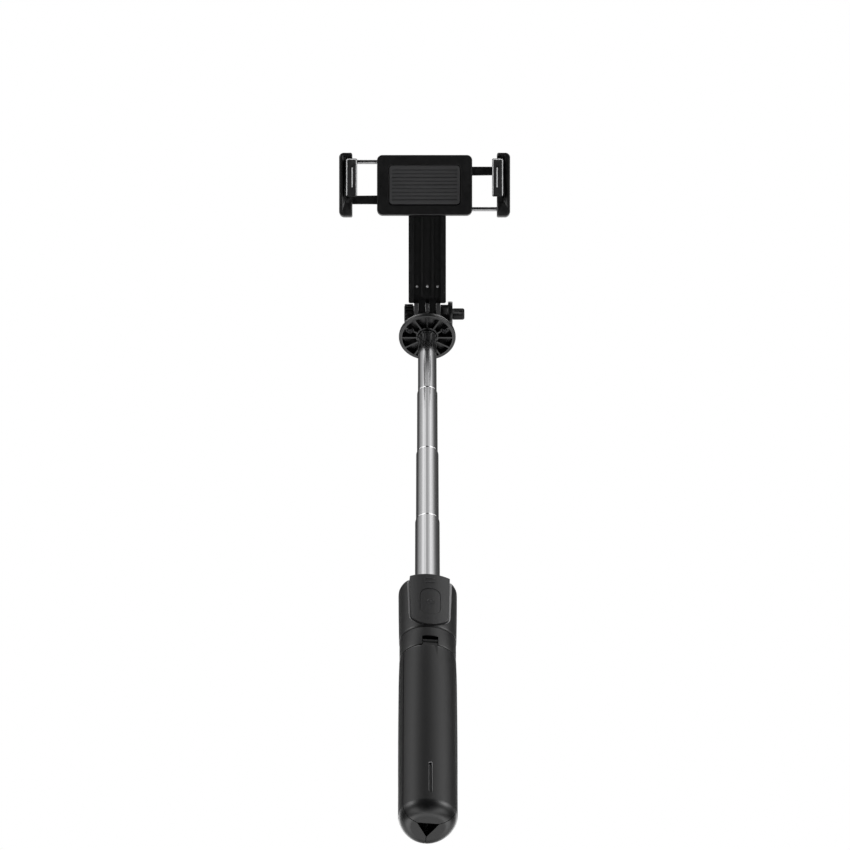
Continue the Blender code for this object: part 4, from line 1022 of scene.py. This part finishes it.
def thumb():
    profile = [(BOLT_BORE, 7.56), (4.9, 7.56), (5.2, 7.7), (5.3, 8.0), (5.3, 11.5), (5.5, 11.8),
               (6.8, 11.8), (7.1, 11.95), (7.2, 12.3), (7.2, 13.9), (7.1, 14.25), (6.8, 14.4),
               (0, 14.4), (0, 12.9), (BOLT_BORE, 12.9)]
    return turned("thumb_screw_head", profile, steps=96)


dress(moved(thumb(), LAY), "thumb_screw", "satin_black", ["thumb_knob"])
lever = plate("thumb_lever", round_rect((13.9, 21.2), (-3.3, 3.3), 1.3), "XZ", (-1.8, 1.8))
lever = rounded(lever, 0.5, segments=4)
for side in (-1, 1):
    cut(lever, bar("lever_line", (15.2, 20.3), (side * 1.62, side * 2.2), (-0.22, 0.22)))
dress(moved(lever, Matrix.Translation(fold_pin)), "thumb_screw", "satin_black", paint=MOULDED)

# %% [markdown]
# The arm is a channel, open to the front for strength without weight, with a round pad at its top that
# the clamp turns on. Three shallow pips across the channel are where the mould pushes the part out.

# %% Holder arm
NECK_W, NECK_BACK, NECK_FRONT = 10.65, 6.2, 0.8
SWIVEL_U = (HOLDER.inverted() @ CLAMP.translation).z / MM
CLAMP_X = CLAMP.translation.x / MM
UPPER = ((-5.06, -1.04), (1.04, 5.06))  # the arm's two fingers, side to side
PIP_STEP = 5.9


def holder_arm():
    low, pad_r = FINGER_R + 0.1, 12.5
    arm = plate("holder_channel", round_rect((-NECK_W, NECK_W), (low, SWIVEL_U), 0.9), "XZ",
                (NECK_FRONT, NECK_BACK))
    join(arm, rod("pad", pad_r, "Y", (NECK_FRONT + 0.05, NECK_BACK - 0.05), (CLAMP_X, SWIVEL_U),
                  96))
    cut(arm, bar("channel", (-NECK_W + 2.8, NECK_W - 2.8), (0, NECK_BACK - 1.8),
                 (low - 1, SWIVEL_U - pad_r - 3)))
    for span in UPPER:
        side = [(0.6, low + 1.2), (2.2, low + 2.6), (NECK_BACK - 1.3, low + 2.6),
                (FINGER_R - 0.1, 2.0)]
        side += arc(0, 0, FINGER_R - 0.1, 0, -180, 28) + [(-FINGER_R + 0.1, 1.0)]
        join(arm, plate("finger", side, "YZ", span))
        middle = sum(span) / 2
        join(arm, bar("rib", (middle - 0.5, middle + 0.5), (NECK_FRONT + 1.2, NECK_BACK - 1.5),
                      (low + 4, SWIVEL_U - pad_r - 2)))
    cut(arm, rod("bore", BOLT_BORE, "X", (-10, 10)),
        rod("swivel_bore", 2.8, "Y", (0, NECK_BACK + 1), (CLAMP_X, SWIVEL_U)),
        rod("washer_seat", 5.4, "Y", (NECK_BACK - 1.8, NECK_BACK + 1), (CLAMP_X, SWIVEL_U)))
    return rounded(arm, 0.28, angle=40, clamp=True)


dress(moved(holder_arm(), HOLDER), "holder", "satin_black", ["holder_arm"])
pip = moved(turned("pip", [(0, -0.45), (0.5, -0.4), (0.75, -0.15), (0.75, 0.3), (0, 0.3)], 20,
                   closed=False), Matrix.Rotation(math.radians(-90), 4, "X"))
moved(pip, Matrix.Translation((-PIP_STEP * MM, (NECK_BACK - 1.8) * MM, (FINGER_R + 9.6) * MM)))
# The pips take the light grey painted highlight, so they show as bright dots.
pips = repeated("channel_pips", ROW, pip, Count=3, Step=(PIP_STEP * MM, 0, 0), Finish=PAINTED_HIGHLIGHT)
dress(moved(pips, HOLDER), "holder", "satin_black", paint=PAINTED_HIGHLIGHT)

# %% [markdown]
# The clamp's body is two flat shells with a soft pad between the jaws. Depths are counted forward from
# the fold bolt, so depth() turns such a pair into a span along the frame's own Y.

# %% Clamp shells and pad
BODY_W, BODY_H = 27.0, 17.0
BODY_BACK, SPLIT, BODY_FRONT = -0.4, 7.6, 10.6


def depth(back, front):
    return (-front, -back)


TONGUE_N, TONGUE_U = (2.6, 6.6), (5.6, 10.6)
ROD_U = 13.4
ROD_Y = -(TONGUE_N[0] + TONGUE_N[1]) / 2


def back_shell():
    made = plate("clamp_back", round_rect((-BODY_W, BODY_W), (-BODY_H, BODY_H), 3.0), "XZ",
                 depth(BODY_BACK, SPLIT))
    cut(made, plate("hollow", round_rect((-BODY_W + 1.8, BODY_W - 1.8),
                                         (-BODY_H + 1.1, BODY_H - 1.1), 2.0), "XZ",
                    depth(1.6, SPLIT + 1)))
    join(made, rod("post", 1.6, "Y", depth(1.3, 6.6)))
    for x in (-21.5, 21.5):
        join(made, rod("screw_post", 2.0, "Y", depth(1.3, 6.6), (x, 0)))
        cut(made, rod("screw_hole", 1.0, "Y", depth(3.0, 8.0), (x, 0)))
    for side in (-1, 1):
        cut(made, bar("window", (side * 20, side * 30), depth(TONGUE_N[0] - 0.3, TONGUE_N[1] + 0.3),
                      (side * (TONGUE_U[0] - 0.3), side * (TONGUE_U[1] + 0.3))),
            rod("rod_hole", 1.5, "X", (side * 20, side * 30), (ROD_Y, -side * ROD_U)))
    cut(made, rod("pivot_hole", 1.3, "Y", depth(BODY_BACK - 1, 4.3)))
    return rounded(made, 0.35, angle=40, clamp=True)


dress(moved(back_shell(), CLAMP), "clamp", "satin_black", ["clamp_back_shell"])
cover = plate("clamp_cover", round_rect((-BODY_W, BODY_W), (-BODY_H, BODY_H), 3.0), "XZ",
              depth(SPLIT + 0.3, BODY_FRONT))
cut(cover, plate("recess", round_rect((-20.3, 20.3), (-11.3, 11.3), 2.3), "XZ",
                 depth(BODY_FRONT - 0.8, BODY_FRONT + 1)))
dress(moved(rounded(cover, 0.45, segments=4, angle=40), CLAMP), "clamp", "satin_black",
      ["clamp_front_cover"])
pad = plate("phone_pad", round_rect((-20, 20), (-11, 11), 2.0), "XZ",
            depth(BODY_FRONT - 0.5, BODY_FRONT + 0.8))
pad = rounded(pad, 0.3)
groove = bar("pad_groove", (-18.5, 18.5), depth(BODY_FRONT + 0.45, BODY_FRONT + 1.2), (-0.3, 0.3))
moved(groove, Matrix.Translation((0, 0, -8.4 * MM)))
grooves = repeated("pad_grooves", ROW, groove, Count=9, Step=(0, 0, 2.1 * MM), Finish=RUBBER)
dress(moved(cut(pad, grooves), CLAMP), "clamp", "soft_rubber", ["clamp_pad"])

# %% [markdown]
# Each arm is a rounded block that slides on a toothed tongue and a steel rod. Its inner side is
# hollowed where the jaw stands, and the jaw hooks round the phone's edge. The jaw's front plate has a
# raised rim and a short ridge down its middle, both swept as beads and painted light grey as a highlight.

# %% Arms and jaws
ARM_IN, ARM_OUT, ARM_H, ARM_FRONT = 41.1, 48.4, 18.0, 15.0
JAW_U, JAW_H, JAW_IN, JAW_OUT, LIP = 3.6, 10.75, 38.1, 44.4, (19.3, 21.3)
PITCH, GEAR_R, PHONE_W = math.pi * 0.8, 4.8, 79.5
STEM_IN = PHONE_W / 2 + 1.6  # the pad fills the gap between the phone and the jaw's stem


def rack(side):
    """One tongue from the front, with rack teeth on the edge that faces the pinion."""
    root, tip = GEAR_R + 0.8, GEAR_R - 0.6
    points = [(-10.0, TONGUE_U[1]), (-10.0, root + 0.3)]
    for i in range(-3, 6):
        x = PITCH * (i + 0.5)
        points += [(x - PITCH / 2, root + 0.2), (x - 0.62, root), (x - 0.24, tip),
                   (x + 0.24, tip), (x + 0.62, root)]
    points += [(ARM_IN + 0.5, root + 0.3), (ARM_IN + 0.5, TONGUE_U[1])]
    return [(side * x, side * u) for x, u in points]


def clamp_arm(side):
    span = sorted((side * ARM_IN, side * ARM_OUT))
    outer = arc(ARM_OUT - 2.6, -ARM_H + 2.6, 2.6, -90, 0, 7) + arc(ARM_OUT - 2.6, ARM_H - 2.6,
                                                                  2.6, 0, 90, 7)
    outline = [(side * x, u) for x, u in [(ARM_IN, -ARM_H)] + outer + [(ARM_IN, ARM_H)]]
    arm = plate("arm", outline, "XZ", depth(1.0, ARM_FRONT))
    arm = rounded(arm, 0.7, segments=5, angle=40)
    cut(arm, plate("pocket", round_rect((side * (ARM_IN - 3), side * (JAW_OUT + 1.2)),
                                        (JAW_U - JAW_H - 3.2, JAW_U + JAW_H + 1.6), 1.4), "XZ",
                   depth(ARM_FRONT - 3.2, ARM_FRONT + 1)))
    join(arm, plate("tongue", rack(side), "XZ", depth(*TONGUE_N)))
    cut(arm, rod("socket", 1.35, "X", (side * (ARM_IN - 1), side * (ARM_OUT - 2)),
                 (ROD_Y, -side * ROD_U)))
    return arm


def jaw(side):
    height = (JAW_U - JAW_H, JAW_U + JAW_H)
    made = plate("jaw", round_rect((side * JAW_IN, side * JAW_OUT), height, 0.8, 4), "XZ",
                 depth(LIP[0], LIP[1] - 0.4))
    made = rounded(made, 0.3, segments=4, angle=40)
    join(made, bar("stem", (side * STEM_IN, side * (JAW_OUT - 0.05)),
                   depth(ARM_FRONT - 2.9, LIP[0] + 0.4), (height[0] + 0.3, height[1] - 0.3)))
    bead, front = 0.32, -(LIP[1] - 0.4)
    inner, outer, top = JAW_IN + 0.45, JAW_OUT - 0.45, height[1] - 0.45
    rim = [(inner, height[0] + 0.6), (inner, top - 0.7), (inner + 0.2, top - 0.2),
           (inner + 0.7, top), (outer - 0.7, top), (outer - 0.2, top - 0.2),
           (outer, top - 0.7), (outer, height[0] + 0.6)]
    ridge_x = JAW_IN + 2.8
    # The rim and the ridge are beads in the light grey painted highlight.
    return join(marked(made), swept("rim", [(side * x, front, u) for x, u in rim], bead * 0.8),
                swept("ridge", [(side * ridge_x, front, JAW_U - 5.6),
                                (side * ridge_x, front, JAW_U + 5.6)], bead))


def jaw_pad(side):
    made = bar("jaw_cushion", (side * PHONE_W / 2, side * (STEM_IN - 0.2)),
               depth(BODY_FRONT + 2.6, LIP[0] - 0.3), (JAW_U - JAW_H + 1.2, JAW_U + JAW_H - 1.2))
    made = rounded(made, 0.35)
    rib = bar("pad_cut", (side * (PHONE_W / 2 - 0.5), side * (PHONE_W / 2 + 0.35)),
              depth(BODY_FRONT + 2, LIP[0]), (-0.25, 0.25))
    moved(rib, Matrix.Translation((0, 0, (JAW_U - 8.0) * MM)))
    return cut(made, repeated("pad_cuts", ROW, rib, Count=9, Step=(0, 0, 2.0 * MM),
                              Finish=RUBBER))


for side, hand in ((1, "right"), (-1, "left")):
    body = "arm_" + hand
    for made, slot_name, node in ((clamp_arm(side), "satin_black", "clamp_arm_" + hand),
                                  (jaw(side), "dark_grey", "jaw_" + hand),
                                  (jaw_pad(side), "soft_rubber", f"jaw_{hand}_pad")):
        made.name = node + "_shape"
        dress(moved(made, CLAMP), body, slot_name, [node],
              paint=MOULDED if slot_name == "dark_grey" else None)

# %% [markdown]
# What is left of the CAD model is already the right shape: pins, rods, springs, the pinion and the
# remote's insides. They keep their meshes and get the same finishes as the rest.

# %% Finishes for the CAD pieces that stay
slot_of = {s["node"]: s["material_slot"] for s in frame["record"]["subparts"]}
kept = [o for o in frame["nodes"].values() if not o.hide_render]
for node in kept:
    node.data.materials.clear()
    node.data.materials.append(SLOT_FINISH[slot_of[node.name]])
    node.data.shade_smooth()
    node.data.set_sharp_from_angle(angle=math.radians(35))
print("kept CAD pieces:", ", ".join(sorted(o.name for o in kept)))

# %% [markdown]
# The floor is a plain pale sheet a long way down, because the stick is held up in the air and looked at
# from below. Two large soft lamps add a little modelling to the front edges.

# %% Floor and lamps
floor_mesh = bpy.data.meshes.new("floor")
reach = 30.0
floor_mesh.from_pydata([(-reach, -reach, 0), (reach, -reach, 0), (reach, reach, 0),
                        (-reach, reach, 0)], [], [(0, 1, 2, 3)])
floor = bpy.data.objects.new("floor", floor_mesh)
floor.location = (0, 0, -2.6)
bpy.context.scene.collection.objects.link(floor)
floor_paint = bpy.data.materials.new("pale_floor")
floor_paint.use_nodes = True
floor_paint.node_tree.nodes["Principled BSDF"].inputs["Base Color"].default_value = (
    0.90, 0.90, 0.90, 1)
floor_paint.node_tree.nodes["Principled BSDF"].inputs["Roughness"].default_value = 0.9
floor_mesh.materials.append(floor_paint)
floor.visible_glossy = False
floor.visible_diffuse = False


def lamp(name, place, power, size):
    """A square soft lamp aimed at the middle of the stick."""
    data = bpy.data.lights.new(name, "AREA")
    data.shape = "SQUARE"
    data.size = size
    data.energy = power
    made = bpy.data.objects.new(name, data)
    made.location = place
    aim = Vector((0, 0, 0.25)) - Vector(place)
    made.rotation_euler = aim.to_track_quat("-Z", "Y").to_euler()
    bpy.context.scene.collection.objects.link(made)
    return made


lamp("left_lamp", (-1.6, -1.3, 0.5), 10.0, 0.9)
lamp("right_lamp", (1.6, -1.3, 0.5), 12.0, 0.9)
print("floor and lamps in place")
